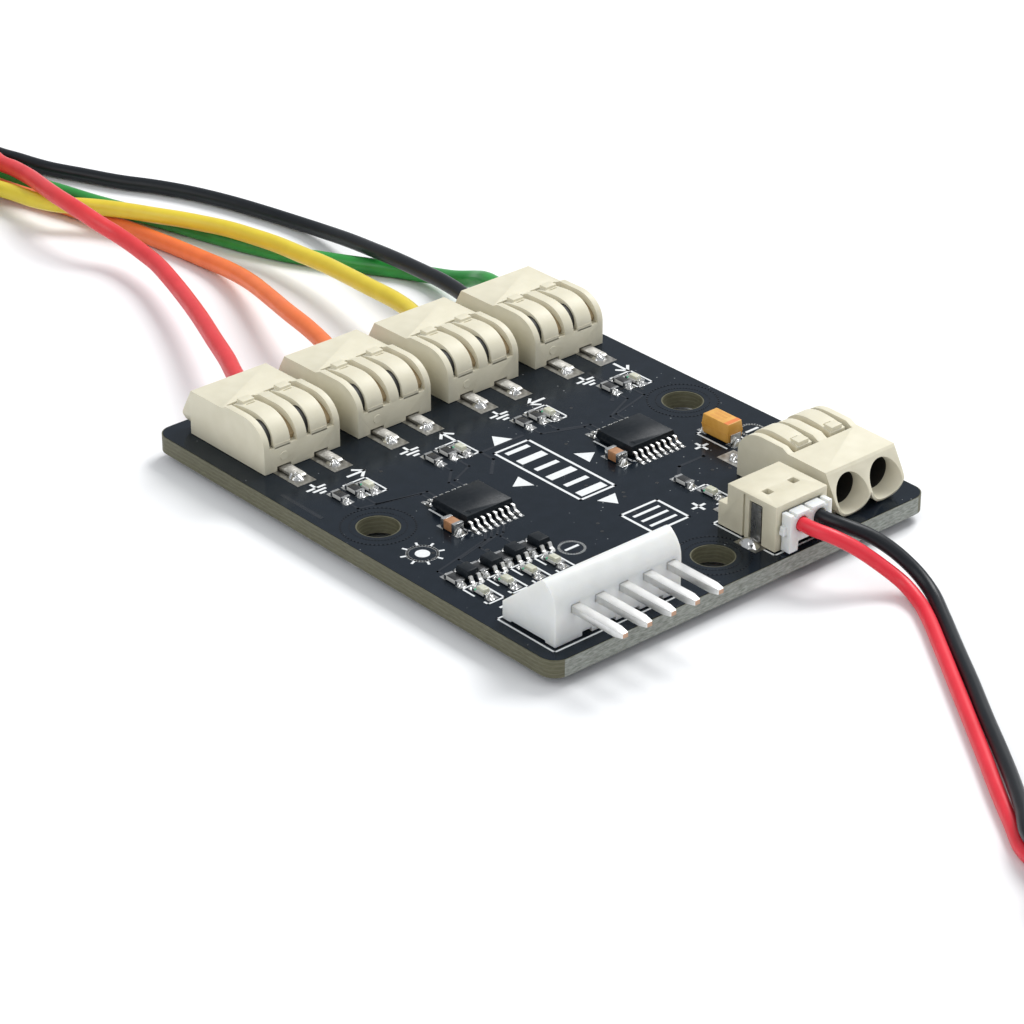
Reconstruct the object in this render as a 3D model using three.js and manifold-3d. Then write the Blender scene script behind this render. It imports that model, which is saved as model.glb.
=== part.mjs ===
// A small input-cleaner circuit board for a joystick: a rectangular board with five push-in
// terminals, a five-pin header, a two-pin lead socket, two logic chips and its two sets of leads.
// Millimetres, +Z up. Origin: the middle of the object's base, leads left out of the measure.
// +Y points to the edge with four terminals, -Y to the edge with the header and the lead socket.

import * as THREE from 'three';
import { mergeVertices } from 'three/addons/utils/BufferGeometryUtils.js';
import Module from 'manifold-3d';

const wasm = await Module();
wasm.setup();

// ---- driving dimensions ----
const BOARD_X = 41.5;
const BOARD_Y = 50.8;
const BOARD_T = 1.6;
const BOARD_CORNER = 1.5;
const HOLE_R = 1.75;
const HOLE_X = 17.0;          // side holes, each way from the board's middle
const FRONT_HOLE_Y = -21.3;
const STAND_OFF = 0.9;        // the header's soldered tails hold the board this far up
const SOLDER_GAP = 0.05;      // solder film under every surface-mounted piece

const BLOCK_W = 8.0;          // a two-pole push-in terminal
const BLOCK_PITCH = 10.0;
const BLOCK_FIRST_X = -14.65;
const BLOCK_BACK_Y = 12.8;    // back face of the row of four
const FIFTH_X = 15.0;
const FIFTH_BACK_Y = -12.8;
const POLE_X = 1.95;          // each pole from the terminal's middle
const TOP_Z = 4.15;
const ENTRY_Z = 2.1;          // height of the wire entries above the board
const BORE_R = 1.15;
const LEVER_W = 2.3;
const LEVER_GAP = 0.3;
const LEVER_END = 5.5;        // free end of a release lever, from the terminal's back face
const CONTACT_W = 1.2;

const PIN_PITCH = 2.5;
const PIN_COUNT = 5;
const PIN_FIRST_X = -17.0;
const PIN_Z = 2.85;
const PIN_TIP_Y = -29.3;
const PIN_LEG_Y = -19.6;
const HEADER_X = [-19.1, -5.9];
const HEADER_FRONT_Y = -23.75;

const SOCKET_X = 6.8;
const SOCKET_W = 5.8;
const SOCKET_BACK_Y = -18.8;
const SOCKET_FRONT_Y = -24.3;
const SOCKET_H = 4.15;
const LEAD_PITCH = 2.0;
const LEAD_Z = 2.5;

const HARNESS_R = 0.8;        // leads to the joystick
const POWER_R = 0.6;          // leads in the two-pin plug
const JOIN_GAP = 0.3;

// the object without its leads runs from the pin tips to the board's back edge
const SHIFT_Y = -(PIN_TIP_Y + BOARD_Y / 2) / 2;
const BOARD_TOP = STAND_OFF + BOARD_T;

// ---- solids ----
function toSolid(geometry) {
  const bare = geometry.clone();
  bare.deleteAttribute('normal');
  bare.deleteAttribute('uv');
  const merged = mergeVertices(bare, 1e-4);
  const triVerts = Uint32Array.from(merged.index.array);
  const vertProperties = Float32Array.from(merged.attributes.position.array);
  const solid = new wasm.Manifold(new wasm.Mesh({ numProp: 3, vertProperties, triVerts }));
  if (solid.volume() > 0) return solid;
  const flipped = triVerts.map((v, i) => triVerts[i - (i % 3) + [0, 2, 1][i % 3]]);
  return new wasm.Manifold(new wasm.Mesh({ numProp: 3, vertProperties, triVerts: flipped }));
}

function toGeometry(solid) {
  const mesh = solid.getMesh();
  const geometry = new THREE.BufferGeometry();
  const points = new Float32Array(mesh.numVert * 3);
  for (let i = 0; i < mesh.numVert; i++) {
    for (let k = 0; k < 3; k++) points[3 * i + k] = mesh.vertProperties[mesh.numProp * i + k];
  }
  geometry.setAttribute('position', new THREE.BufferAttribute(points, 3));
  geometry.setIndex(new THREE.BufferAttribute(Uint32Array.from(mesh.triVerts), 1));
  geometry.computeVertexNormals();
  return geometry;
}

function union(solids) {
  return solids.reduce((whole, solid) => whole.add(solid));
}

function cut(solid, cutters) {
  return cutters.reduce((rest, cutter) => rest.subtract(cutter), solid);
}

function box(x0, x1, y0, y1, z0, z1) {
  const geometry = new THREE.BoxGeometry(x1 - x0, y1 - y0, z1 - z0);
  geometry.translate((x0 + x1) / 2, (y0 + y1) / 2, (z0 + z1) / 2);
  return toSolid(geometry);
}

// a box whose top is smaller than its base by `draft` on each side
function draftedBox(width, depth, z0, z1, draft) {
  const geometry = new THREE.BoxGeometry(width, depth, z1 - z0);
  const points = geometry.attributes.position;
  for (let i = 0; i < points.count; i++) {
    if (points.getZ(i) > 0) {
      points.setX(i, points.getX(i) - Math.sign(points.getX(i)) * draft);
      points.setY(i, points.getY(i) - Math.sign(points.getY(i)) * draft);
    }
  }
  geometry.translate(0, 0, (z0 + z1) / 2);
  return toSolid(geometry);
}

// an outline in the Y-Z plane drawn out along X
function prism(shape, x0, x1, curveSegments = 8) {
  const geometry = new THREE.ExtrudeGeometry(shape, { depth: x1 - x0, bevelEnabled: false, curveSegments });
  const axes = new THREE.Matrix4().makeBasis(
    new THREE.Vector3(0, 1, 0), new THREE.Vector3(0, 0, 1), new THREE.Vector3(1, 0, 0));
  geometry.applyMatrix4(axes);
  geometry.translate(x0, 0, 0);
  return toSolid(geometry);
}

function outline(points) {
  return new THREE.Shape(points.map(([a, b]) => new THREE.Vector2(a, b)));
}

// a cylinder or cone along Y
function round(radius0, radius1, y0, y1, x, z, sides = 20) {
  const geometry = new THREE.CylinderGeometry(radius1, radius0, y1 - y0, sides);
  geometry.translate(x, (y0 + y1) / 2, z);
  return toSolid(geometry);
}

// a cylinder or cone along Z
function post(radius0, radius1, z0, z1, x, y, sides = 12) {
  const geometry = new THREE.CylinderGeometry(radius1, radius0, z1 - z0, sides);
  geometry.rotateX(Math.PI / 2);
  geometry.translate(x, y, (z0 + z1) / 2);
  return toSolid(geometry);
}

function tube(points, radius, step, sides = 8) {
  const curve = new THREE.CatmullRomCurve3(points.map((p) => new THREE.Vector3(...p)), false, 'centripetal');
  const ring = [];
  for (let i = 0; i < sides; i++) {
    const a = (2 * Math.PI * (i + 0.5)) / sides;
    ring.push([radius * Math.cos(a), radius * Math.sin(a)]);
  }
  const steps = Math.min(80, Math.round(curve.getLength() / step));
  const settings = { steps, bevelEnabled: false, extrudePath: curve };
  return toSolid(new THREE.ExtrudeGeometry(outline(ring), settings));
}

// ---- materials ----
function finish(color, roughness, metalness = 0) {
  return new THREE.MeshStandardMaterial({ color, roughness, metalness });
}

const LOOKS = {
  mask: finish(0x1c2127, 0.3),
  ivory: finish(0xdfdccd, 0.5),
  nylon: finish(0xe6e8e6, 0.45),
  tin: finish(0xb9bab6, 0.3, 1),
  epoxy: finish(0x16181b, 0.45),
  tantalum: finish(0xd99a2b, 0.5),
  ceramic: finish(0x9a6a45, 0.5),
  red: finish(0xef3f4a, 0.45),
  orange: finish(0xf9703a, 0.45),
  yellow: finish(0xe6cc38, 0.45),
  green: finish(0x1f8a35, 0.45),
  black: finish(0x22262b, 0.45),
};

const object = new THREE.Group();
const board = new THREE.Group();
board.position.set(0, SHIFT_Y, BOARD_TOP);
object.add(board);

function addPiece(parent, name, solid, look, x = 0, y = 0, z = 0) {
  const mesh = new THREE.Mesh(toGeometry(solid), LOOKS[look]);
  mesh.name = name;
  mesh.position.set(x, y, z);
  parent.add(mesh);
}

// ---- board ----
function pinX(i) {
  return PIN_FIRST_X + i * PIN_PITCH;
}

function boardSolid() {
  const x = BOARD_X / 2;
  const y = BOARD_Y / 2;
  const r = BOARD_CORNER;
  const edge = new THREE.Shape();
  edge.moveTo(-x + r, -y);
  edge.absarc(x - r, -y + r, r, -Math.PI / 2, 0, false);
  edge.absarc(x - r, y - r, r, 0, Math.PI / 2, false);
  edge.absarc(-x + r, y - r, r, Math.PI / 2, Math.PI, false);
  edge.absarc(-x + r, -y + r, r, Math.PI, 1.5 * Math.PI, false);
  for (const [hx, hy] of [[-HOLE_X, 0], [HOLE_X, 0], [0, FRONT_HOLE_Y]]) {
    const hole = new THREE.Path();
    hole.absarc(hx, hy, HOLE_R, 0, 2 * Math.PI, true);
    edge.holes.push(hole);
  }
  const slab = new THREE.ExtrudeGeometry(edge, { depth: BOARD_T, bevelEnabled: false, curveSegments: 12 });
  slab.translate(0, 0, -BOARD_T);
  const legHoles = [];
  for (let i = 0; i < PIN_COUNT; i++) {
    legHoles.push(post(0.55, 0.55, -BOARD_T - 1, 1, pinX(i), PIN_LEG_Y));
  }
  return cut(toSolid(slab), legHoles);
}

// ---- push-in terminal: X across, Y from its back face (0) to its wire entries, Z up ----
const LIP_Y = 11.45;

function terminalHousing() {
  const core = new THREE.Shape();
  core.moveTo(0, SOLDER_GAP);
  core.lineTo(10.2, SOLDER_GAP);
  core.lineTo(10.2, 3.7);
  core.lineTo(9.9, TOP_Z);
  core.lineTo(5.7, TOP_Z + 0.05);
  core.lineTo(5.1, TOP_Z + 0.36);
  core.lineTo(2.8, TOP_Z + 0.4);
  core.bezierCurveTo(1.2, TOP_Z + 0.4, 0.05, 3.6, 0, 2.3);
  const lip = new THREE.Shape();
  lip.moveTo(8, SOLDER_GAP);
  lip.lineTo(LIP_Y - 0.35, SOLDER_GAP);
  lip.quadraticCurveTo(LIP_Y, 0.5, LIP_Y, 1.55);
  lip.lineTo(10.0, TOP_Z);
  lip.lineTo(8, TOP_Z);
  const front = union([
    box(-BLOCK_W / 2, BLOCK_W / 2, 7, 13, ENTRY_Z, 6),
    round(2.04, 2.04, 7, 13, -POLE_X, ENTRY_Z, 28),
    round(2.04, 2.04, 7, 13, POLE_X, ENTRY_Z, 28),
  ]);
  const lipSolid = prism(lip, -BLOCK_W / 2, BLOCK_W / 2).intersect(front);
  const body = union([prism(core, -BLOCK_W / 2, BLOCK_W / 2), lipSolid]);
  const pocket = outline([
    [-1, 2.25], [0.95, 2.25], [0.95, 1.45], [LEVER_END + 0.35, 1.45], [LEVER_END + 0.35, 6], [-1, 6]]);
  const half = LEVER_W / 2 + LEVER_GAP;
  const channel = CONTACT_W / 2 + 0.15;
  const cutters = [];
  for (const x of [-POLE_X, POLE_X]) {
    cutters.push(prism(pocket, x - half, x + half));
    cutters.push(round(BORE_R, 2.1, 8.6, 12, x, ENTRY_Z));
    cutters.push(round(BORE_R, BORE_R, 5.0, 8.7, x, ENTRY_Z));
    cutters.push(box(x - channel, x + channel, -1, 7.7, -1, 0.45));
    cutters.push(box(x - channel, x + channel, 7.0, 7.7, 0.4, 1.3));
  }
  return cut(body, cutters);
}

// the lever curves up from its hinge at the back, over the top, to a raised square thumb piece
function terminalLever() {
  const side = new THREE.Shape();
  side.moveTo(0.02, 2.42);
  side.bezierCurveTo(0.06, 3.75, 1.15, 4.62, 2.8, 4.62);
  side.quadraticCurveTo(4.2, 4.58, LEVER_END, 4.25);
  side.lineTo(LEVER_END, 3.6);
  side.quadraticCurveTo(4.0, 3.88, 2.8, 3.88);
  side.bezierCurveTo(1.55, 3.88, 0.78, 3.2, 0.7, 2.42);
  const thumb = outline([
    [LEVER_END - 1.05, 3.9], [LEVER_END, 3.9], [LEVER_END, TOP_Z + 0.5], [LEVER_END - 1.05, TOP_Z + 0.55]]);
  return union([
    prism(side, -LEVER_W / 2, LEVER_W / 2),
    prism(thumb, -LEVER_W / 2 + 0.22, LEVER_W / 2 - 0.22),
  ]);
}

// a tinned strip: its tail is soldered behind the terminal, its upright end meets the wire
function terminalContact() {
  const strip = outline([
    [-2.3, 0.08], [7.5, 0.08], [7.5, 1.05], [7.25, 1.05], [7.25, 0.33], [-2.0, 0.33]]);
  return prism(strip, -CONTACT_W / 2, CONTACT_W / 2);
}

function addTerminal(name, x, backY, turned) {
  const group = new THREE.Group();
  group.position.set(x, backY, 0);
  if (turned) group.rotation.z = Math.PI;
  board.add(group);
  addPiece(group, `${name}_housing`, terminalHousing(), 'ivory');
  ['a', 'b'].forEach((letter, i) => {
    const poleX = i === 0 ? -POLE_X : POLE_X;
    addPiece(group, `${name}_lever_${letter}`, terminalLever(), 'ivory', poleX);
    addPiece(group, `${name}_contact_${letter}`, terminalContact(), 'tin', poleX);
  });
}

// ---- five-pin right-angle header ----
function pinSolid(swell) {
  const wide = 0.45 + swell;
  const half = 0.32 + swell;
  const bar = box(-wide, wide, PIN_TIP_Y, PIN_LEG_Y + half, PIN_Z - half, PIN_Z + half);
  const leg = box(-half, half, PIN_LEG_Y - half, PIN_LEG_Y + half, -BOARD_T - STAND_OFF, PIN_Z);
  return union([bar, leg]);
}

function headerPin() {
  const keep = outline([
    [PIN_TIP_Y, PIN_Z - 0.18], [PIN_TIP_Y + 0.9, PIN_Z - 0.4], [0, PIN_Z - 0.4], [0, PIN_Z + 0.4],
    [PIN_TIP_Y + 0.9, PIN_Z + 0.4], [PIN_TIP_Y, PIN_Z + 0.18]]);
  const nose = prism(keep, -1, 1);
  const legRoom = box(-1, 1, PIN_LEG_Y - 1, PIN_LEG_Y + 1, -5, PIN_Z);
  const solder = post(0.42, 0.95, -BOARD_T - 0.72, -BOARD_T - 0.02, 0, PIN_LEG_Y);
  return union([pinSolid(0).intersect(union([nose, legRoom])), solder]);
}

function headerBody() {
  const side = outline([
    [HEADER_FRONT_Y, SOLDER_GAP], [-17.65, SOLDER_GAP], [-17.65, 1.6], [-22.1, 5.35], [-22.5, 5.3],
    [HEADER_FRONT_Y, 3.9]]);
  const cutters = [];
  for (let i = 0; i < PIN_COUNT; i++) cutters.push(pinSolid(0.04).translate([pinX(i), 0, 0]));
  return cut(prism(side, HEADER_X[0], HEADER_X[1]), cutters);
}

// ---- two-pin lead socket and its plug: X from the socket's middle ----
const TAB_Y = [-22.75, -21.3];

function socketSolid() {
  const half = SOCKET_W / 2;
  const front = SOCKET_FRONT_Y;
  const shell = union([
    box(-half, half, front, SOCKET_BACK_Y, SOLDER_GAP, SOCKET_H),
    box(-half, half, SOCKET_BACK_Y - 0.5, SOCKET_BACK_Y + 1.0, SOLDER_GAP, 2.2),
  ]);
  const cutters = [
    box(-half + 0.75, half - 0.75, front - 1, SOCKET_BACK_Y - 1.0, 0.55, 3.5),
    box(-1.5, 1.5, front - 1, front + 1.0, -1, 1),
  ];
  for (const s of [-1, 1]) {
    const x0 = s < 0 ? -half - 1 : half - 0.35;
    cutters.push(box(x0, x0 + 1.35, TAB_Y[0], TAB_Y[1], -1, 3.6));
    cutters.push(box(s * 1.45 - 0.36, s * 1.45 + 0.36, -22.25, -21.5, 3, 6));
    cutters.push(socketPin(0.04).translate([(s * LEAD_PITCH) / 2, 0, 0]));
  }
  return cut(shell, cutters);
}

function socketPin(swell) {
  const half = 0.25 + swell;
  const bendY = SOCKET_BACK_Y + 0.45 + swell;
  return union([
    box(-half, half, -22.6, bendY, LEAD_Z - half, LEAD_Z + half),
    box(-half, half, SOCKET_BACK_Y - swell, bendY, 0.08 - swell, LEAD_Z),
    box(-half, half, SOCKET_BACK_Y, SOCKET_BACK_Y + 2.3, 0.08 - swell, 0.35 + swell),
  ]);
}

// a folded tab in the socket's side groove, with its foot soldered to the board
function socketTab(side) {
  const half = SOCKET_W / 2;
  const y0 = TAB_Y[0] + 0.15;
  const y1 = TAB_Y[1] - 0.15;
  const wall = box(half - 0.27, half - 0.07, y0, y1, 0.08, 3.5);
  const foot = box(half - 0.27, half + 0.9, y0, y1, 0.08, 0.33);
  const tab = union([wall, foot]);
  return side > 0 ? tab : tab.mirror([1, 0, 0]);
}

function plugSolid() {
  const front = SOCKET_FRONT_Y;
  const body = union([
    box(-2.0, 2.0, front - 0.2, -20.1, 0.75, 3.3),
    box(-2.35, 2.35, front - 1.1, front - 0.12, 1.05, 3.55),
    box(-2.35, -1.35, front - 1.1, front - 0.12, 0.2, 1.4),
    box(1.35, 2.35, front - 1.1, front - 0.12, 0.2, 1.4),
  ]);
  const cutters = [];
  for (const s of [-1, 1]) {
    const x = (s * LEAD_PITCH) / 2;
    cutters.push(box(x - 0.35, x + 0.35, -23.0, -19, LEAD_Z - 0.35, LEAD_Z + 0.35));
    cutters.push(round(0.68, 0.68, front - 2, -22.8, x, LEAD_Z, 12));
  }
  return cut(body, cutters);
}

// ---- chips and capacitors ----
const CHIP_Y = 4.4;
const CHIP_X = 5.0;
const LEAD_STEP = 0.65;
const LEADS_A_SIDE = 8;

function chipSolid() {
  const body = union([
    draftedBox(CHIP_X, CHIP_Y, 0.55, 1.05, 0.12),
    draftedBox(CHIP_X, CHIP_Y, 0.15, 0.55, 0),
  ]);
  const wing = outline([
    [1.9, 0.45], [2.45, 0.45], [2.6, 0.08], [3.2, 0.08], [3.2, 0.22], [2.72, 0.24], [2.55, 0.6], [1.9, 0.6]]);
  const leads = [];
  for (let i = 0; i < LEADS_A_SIDE; i++) {
    const x = (i - (LEADS_A_SIDE - 1) / 2) * LEAD_STEP;
    const lead = prism(wing, x - 0.12, x + 0.12);
    leads.push(lead, lead.mirror([0, 1, 0]));
  }
  return union([body, ...leads]);
}

function tantalumSolid() {
  return union([
    draftedBox(1.8, 3.2, 0.2, 1.95, 0.1),
    box(-0.6, 0.6, -1.7, 1.7, 0.08, 0.95),
  ]);
}

function ceramicSolid() {
  return box(-0.5, 0.5, -0.85, 0.85, 0.08, 0.95);
}

// ---- leads ----
// a coil starts where its lead first touches the circle; `heading` is the way the lead then runs
const HARNESS_TAIL = 5.5;    // from the coil to the far plug
const HARNESS = {
  bundleR: 2.2, coilR: 8.8, join: [2.2, 95.0], heading: [-0.25, 0.968], straight: 9.3, layer: 4.5,
};
const POWER = {
  bundleR: 0.65, coilR: 6.6, join: [-11.4, -64.2], heading: [-0.35, -0.937], straight: 4.9, layer: 2.5,
};

// the coil's middle, and where and which way the lead leaves it after a whole number of half turns
function coilPlace(lead) {
  const [hx, hy] = lead.heading;
  const startX = lead.join[0] + hx * lead.straight;
  const startY = lead.join[1] + hy * lead.straight;
  const middle = [startX - hy * lead.coilR, startY + hx * lead.coilR];
  const leave = [middle[0] - hy * lead.coilR, middle[1] + hx * lead.coilR];
  return { middle, leave, away: [-hx, -hy] };
}

function coilSolid(lead, height) {
  const inner = lead.coilR - lead.bundleR;
  const outer = lead.coilR + lead.bundleR;
  const soft = lead.bundleR * 0.35;
  const profile = outline([
    [inner, soft], [inner + soft, 0], [outer - soft, 0], [outer, soft],
    [outer, height - soft], [outer - soft, height], [inner + soft, height], [inner, height - soft]]);
  const points = profile.getPoints();
  points.push(points[0].clone());
  const ring = new THREE.LatheGeometry(points, 40);
  ring.rotateX(Math.PI / 2);
  return toSolid(ring);
}

// each lead's own route, in the object's frame, from inside its entry to where the bundle begins
const HARNESS_ROUTES = {
  red: [
    [-12.6, 23.6, 4.6], [-12.2, 26.2, 4.5], [-11.1, 28.7, 4.25], [-9.7, 31.6, 4.1], [-7.8, 36, 3.8],
    [-5.3, 41.6, 3.3], [-3.2, 46.8, 2.9], [-1.7, 51, 2.7], [-0.6, 54.6, 2.6], [-0.1, 57.5, 2.6],
    [0.1, 60, 2.75], [-0.1, 62, 3.1], [-0.6, 63.5, 3.6], [-0.9, 65.3, 4.05], [-1, 67.4, 4.3],
    [-0.8, 70.1, 4.3], [-0.1, 73.5, 4], [0.9, 77.3, 3.5], [1.6, 81.3, 3], [1.9, 84.2, 2.6],
    [2.5, 88, 2.9], [2.5, 91.6, 3.4],
  ],
  orange: [
    [-2.7, 23.6, 4.6], [-2.7, 26.6, 4.6], [-2, 29.2, 4.5], [-0.5, 32.2, 4.1], [1, 36.7, 3.5],
    [2.6, 41.4, 2.8], [4.3, 46.7, 2], [5.3, 51.4, 1.3], [5.5, 55.4, 0.9], [5.3, 59, 0.8],
    [4.9, 62.2, 0.8], [4.4, 65.5, 0.8], [3.8, 68.6, 0.8], [3.3, 71.9, 0.8], [2.5, 75.5, 0.8],
    [1.7, 78.5, 0.8], [1, 81.7, 0.8], [0.5, 85.8, 0.8], [0.8, 90.2, 0.85],
  ],
  yellow: [
    [7.3, 23.6, 4.6], [7.3, 26.6, 4.6], [8, 29.2, 4.5], [9.1, 31.8, 4.1], [9.5, 35.1, 3.8],
    [10.2, 39.4, 3.3], [10.7, 43.6, 2.9], [10.8, 47.4, 2.6], [10.7, 50.9, 2.45], [10.1, 53.9, 2.45],
    [9.4, 56.7, 2.45], [8.4, 59.2, 2.45], [7.3, 61.6, 2.45], [6.1, 63.8, 2.45], [4.9, 66.1, 2.45],
    [3.6, 68.3, 2.45], [2.2, 70.2, 2.45], [0.6, 72, 2.45], [-0.2, 74.9, 2.2], [-0.5, 78.7, 1.9],
    [-1.3, 84.2, 1.6], [-0.9, 88.4, 1.8], [-0.1, 91.8, 2.3],
  ],
  black: [
    [13.4, 23.6, 4.6], [13.4, 26.6, 4.6], [14, 29.2, 4.5], [14.9, 31.9, 4.1], [15.3, 34.6, 3.8],
    [16, 39.5, 3.2], [16.7, 43.9, 2.5], [17.3, 48.4, 1.8], [17.6, 52.4, 1.2], [17.4, 56.4, 0.85],
    [16.6, 60.5, 0.8], [15.5, 64.8, 0.8], [14.1, 68.9, 0.8], [12.4, 72.5, 0.8], [10.4, 75.9, 0.8],
    [8.7, 79.6, 0.8], [7, 83.4, 0.8], [6, 87.2, 0.82], [5, 90.6, 1.2],
  ],
  green: [
    [17.3, 23.6, 4.6], [17.3, 26.6, 4.6], [17.9, 28.9, 4.2], [18.8, 31.6, 3.1], [18.8, 34.2, 2.2],
    [19, 37.4, 1.3], [18.5, 40.3, 0.85], [17.2, 42.8, 0.8], [15.4, 45.7, 0.8], [13.8, 48.5, 0.8],
    [12.2, 51.4, 0.8], [10.9, 54.7, 0.8], [9.8, 58.3, 0.8], [8.8, 62.1, 0.8], [7.8, 65.9, 0.8],
    [6.7, 69.6, 0.8], [5.6, 73.2, 0.8], [4.5, 77.8, 0.8], [3.3, 82.2, 0.8], [2.7, 84.6, 0.8],
    [2.6, 88.2, 0.85], [2.9, 91.6, 0.95],
  ],
};
const BUNDLE_ANGLES = { red: 90, yellow: 162, orange: 234, green: 306, black: 18 };

const POWER_ROUTES = {
  red: [
    [5.8, -21.9, 5], [5.8, -24.6, 5], [6.5, -26.2, 4.7], [7.7, -27.5, 3.8], [9.1, -28.9, 2.4],
    [9.9, -30.8, 1.2], [9.4, -33, 0.65], [8.2, -35.1, 0.6], [5.4, -39.1, 0.6], [2.4, -43.3, 0.6],
    [-0.6, -47.5, 0.6], [-3.4, -51.4, 0.6], [-6.1, -55.1, 0.6], [-8.6, -58.7, 0.6], [-10.4, -61.3, 0.6],
    [-11.4, -64.2, 0.6],
  ],
  black: [
    [7.8, -21.9, 5], [7.8, -24.3, 5], [8.4, -25.9, 4.8], [9.5, -27.4, 4.2], [10.6, -29, 3.1],
    [11.2, -31, 1.8], [10.9, -33, 0.9], [9.2, -35.8, 0.6], [6.4, -39.8, 0.6], [3.4, -44.1, 0.67],
    [0.4, -48.2, 0.78], [-2.4, -52.1, 0.95], [-5.2, -55.8, 1.23], [-8, -59.2, 1.6],
    [-10.1, -61.5, 1.82], [-11.4, -64.2, 1.85],
  ],
};

// five leads twist round one another: each one's place in the bundle where it begins
function bundlePlace(lead, degrees) {
  const [hx, hy] = lead.heading;
  const reach = lead.bundleR - HARNESS_R + 0.02;
  const across = reach * Math.cos(THREE.MathUtils.degToRad(degrees));
  const up = lead.bundleR + 0.05 + reach * Math.sin(THREE.MathUtils.degToRad(degrees));
  return [lead.join[0] + across * hy, lead.join[1] - across * hx, up];
}

// the routes above are written in the object's frame, so these pieces go straight into it
function addLeads() {
  for (const [colour, route] of Object.entries(HARNESS_ROUTES)) {
    const end = bundlePlace(HARNESS, BUNDLE_ANGLES[colour]);
    addPiece(object, `harness_wire_${colour}`, tube([...route, end], HARNESS_R, 3.6), colour);
  }
  for (const [colour, route] of Object.entries(POWER_ROUTES)) {
    addPiece(object, `power_wire_${colour}`, tube(route, POWER_R, 2.6), colour);
  }

  const coil = coilPlace(HARNESS);
  const coilHeight = HARNESS.layer + 2 * HARNESS.bundleR;
  addPiece(object, 'harness_coil', coilSolid(HARNESS, coilHeight), 'green', ...coil.middle, 0);
  const along = (d, z) => [coil.leave[0] + coil.away[0] * d, coil.leave[1] + coil.away[1] * d, z];
  const tailStart = HARNESS.straight + JOIN_GAP;
  addPiece(object, 'harness_tail', tube([along(tailStart, 5.2), along(tailStart + 2.2, 3.8),
    along(tailStart + 4, 3.0), along(tailStart + HARNESS_TAIL, 2.9)], 2.1, 2, 10), 'yellow');
  const plugAt = along(tailStart + HARNESS_TAIL + JOIN_GAP, 0);
  const plug = new THREE.Group();
  plug.position.set(...plugAt);
  plug.rotation.z = Math.atan2(coil.away[1], coil.away[0]) + Math.PI / 2;
  object.add(plug);
  addPiece(plug, 'harness_plug', harnessPlug(), 'nylon');

  const small = coilPlace(POWER);
  const smallHeight = POWER.layer + 2 * POWER_R * 2 + 0.05;
  addPiece(object, 'power_coil', coilSolid(POWER, smallHeight), 'red', ...small.middle, 0);
  const out = (d, z) => [small.leave[0] + small.away[0] * d, small.leave[1] + small.away[1] * d, z];
  addPiece(object, 'power_tail', tube([out(POWER.straight + JOIN_GAP, 2.6), out(8, 1.6), out(12, 1.3),
    out(20, 1.3)], 1.2, 2.4), 'black');
}

// the plug on the harness's far end: wires enter at y = 0, the mating face looks to -Y
function harnessPlug() {
  const wide = (PIN_COUNT - 1) * PIN_PITCH / 2 + 2.1;
  const side = outline([
    [0, 0], [0, 4.9], [-2.2, 5.6], [-6.4, 5.6], [-7.9, 4.9], [-7.9, 0]]);
  const cutters = [];
  for (let i = 0; i < PIN_COUNT; i++) {
    const x = (i - (PIN_COUNT - 1) / 2) * PIN_PITCH;
    cutters.push(round(0.9, 0.9, -2.4, 1, x, 2.9, 12));
    cutters.push(box(x - 0.6, x + 0.6, -9, -5.5, 2.45, 3.35));
  }
  return cut(prism(side, -wide, wide), cutters);
}

// ---- assembly ----
addPiece(board, 'circuit_board', boardSolid(), 'mask');
for (let i = 0; i < 4; i++) {
  addTerminal(`terminal_${i + 1}`, BLOCK_FIRST_X + i * BLOCK_PITCH, BLOCK_BACK_Y, false);
}
addTerminal('terminal_5', FIFTH_X, FIFTH_BACK_Y, true);
addPiece(board, 'header_body', headerBody(), 'nylon');
for (let i = 0; i < PIN_COUNT; i++) {
  addPiece(board, `header_pin_${i + 1}`, headerPin(), 'tin', pinX(i));
}
addPiece(board, 'lead_socket', socketSolid(), 'ivory', SOCKET_X);
addPiece(board, 'socket_tab_left', socketTab(-1), 'tin', SOCKET_X);
addPiece(board, 'socket_tab_right', socketTab(1), 'tin', SOCKET_X);
addPiece(board, 'socket_pin_left', socketPin(0), 'tin', SOCKET_X - LEAD_PITCH / 2);
addPiece(board, 'socket_pin_right', socketPin(0), 'tin', SOCKET_X + LEAD_PITCH / 2);
addPiece(board, 'lead_plug', plugSolid(), 'nylon', SOCKET_X);
addPiece(board, 'chip_left', chipSolid(), 'epoxy', -9.4, -2.85);
addPiece(board, 'chip_right', chipSolid(), 'epoxy', 8.8, -2.8);
addPiece(board, 'tantalum_capacitor', tantalumSolid(), 'tantalum', 14.8, -7.1);
addPiece(board, 'ceramic_capacitor_left', ceramicSolid(), 'ceramic', -12.9, -4.4);
addPiece(board, 'ceramic_capacitor_right', ceramicSolid(), 'ceramic', 5.2, -4.3);
addLeads();

export default object;
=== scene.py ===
"""A joystick input-cleaner board: black circuit board, five push-in terminals, pin header, lead socket, leads."""
import math
import random
import bmesh
import bpy
from mathutils import Matrix, Vector


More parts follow.
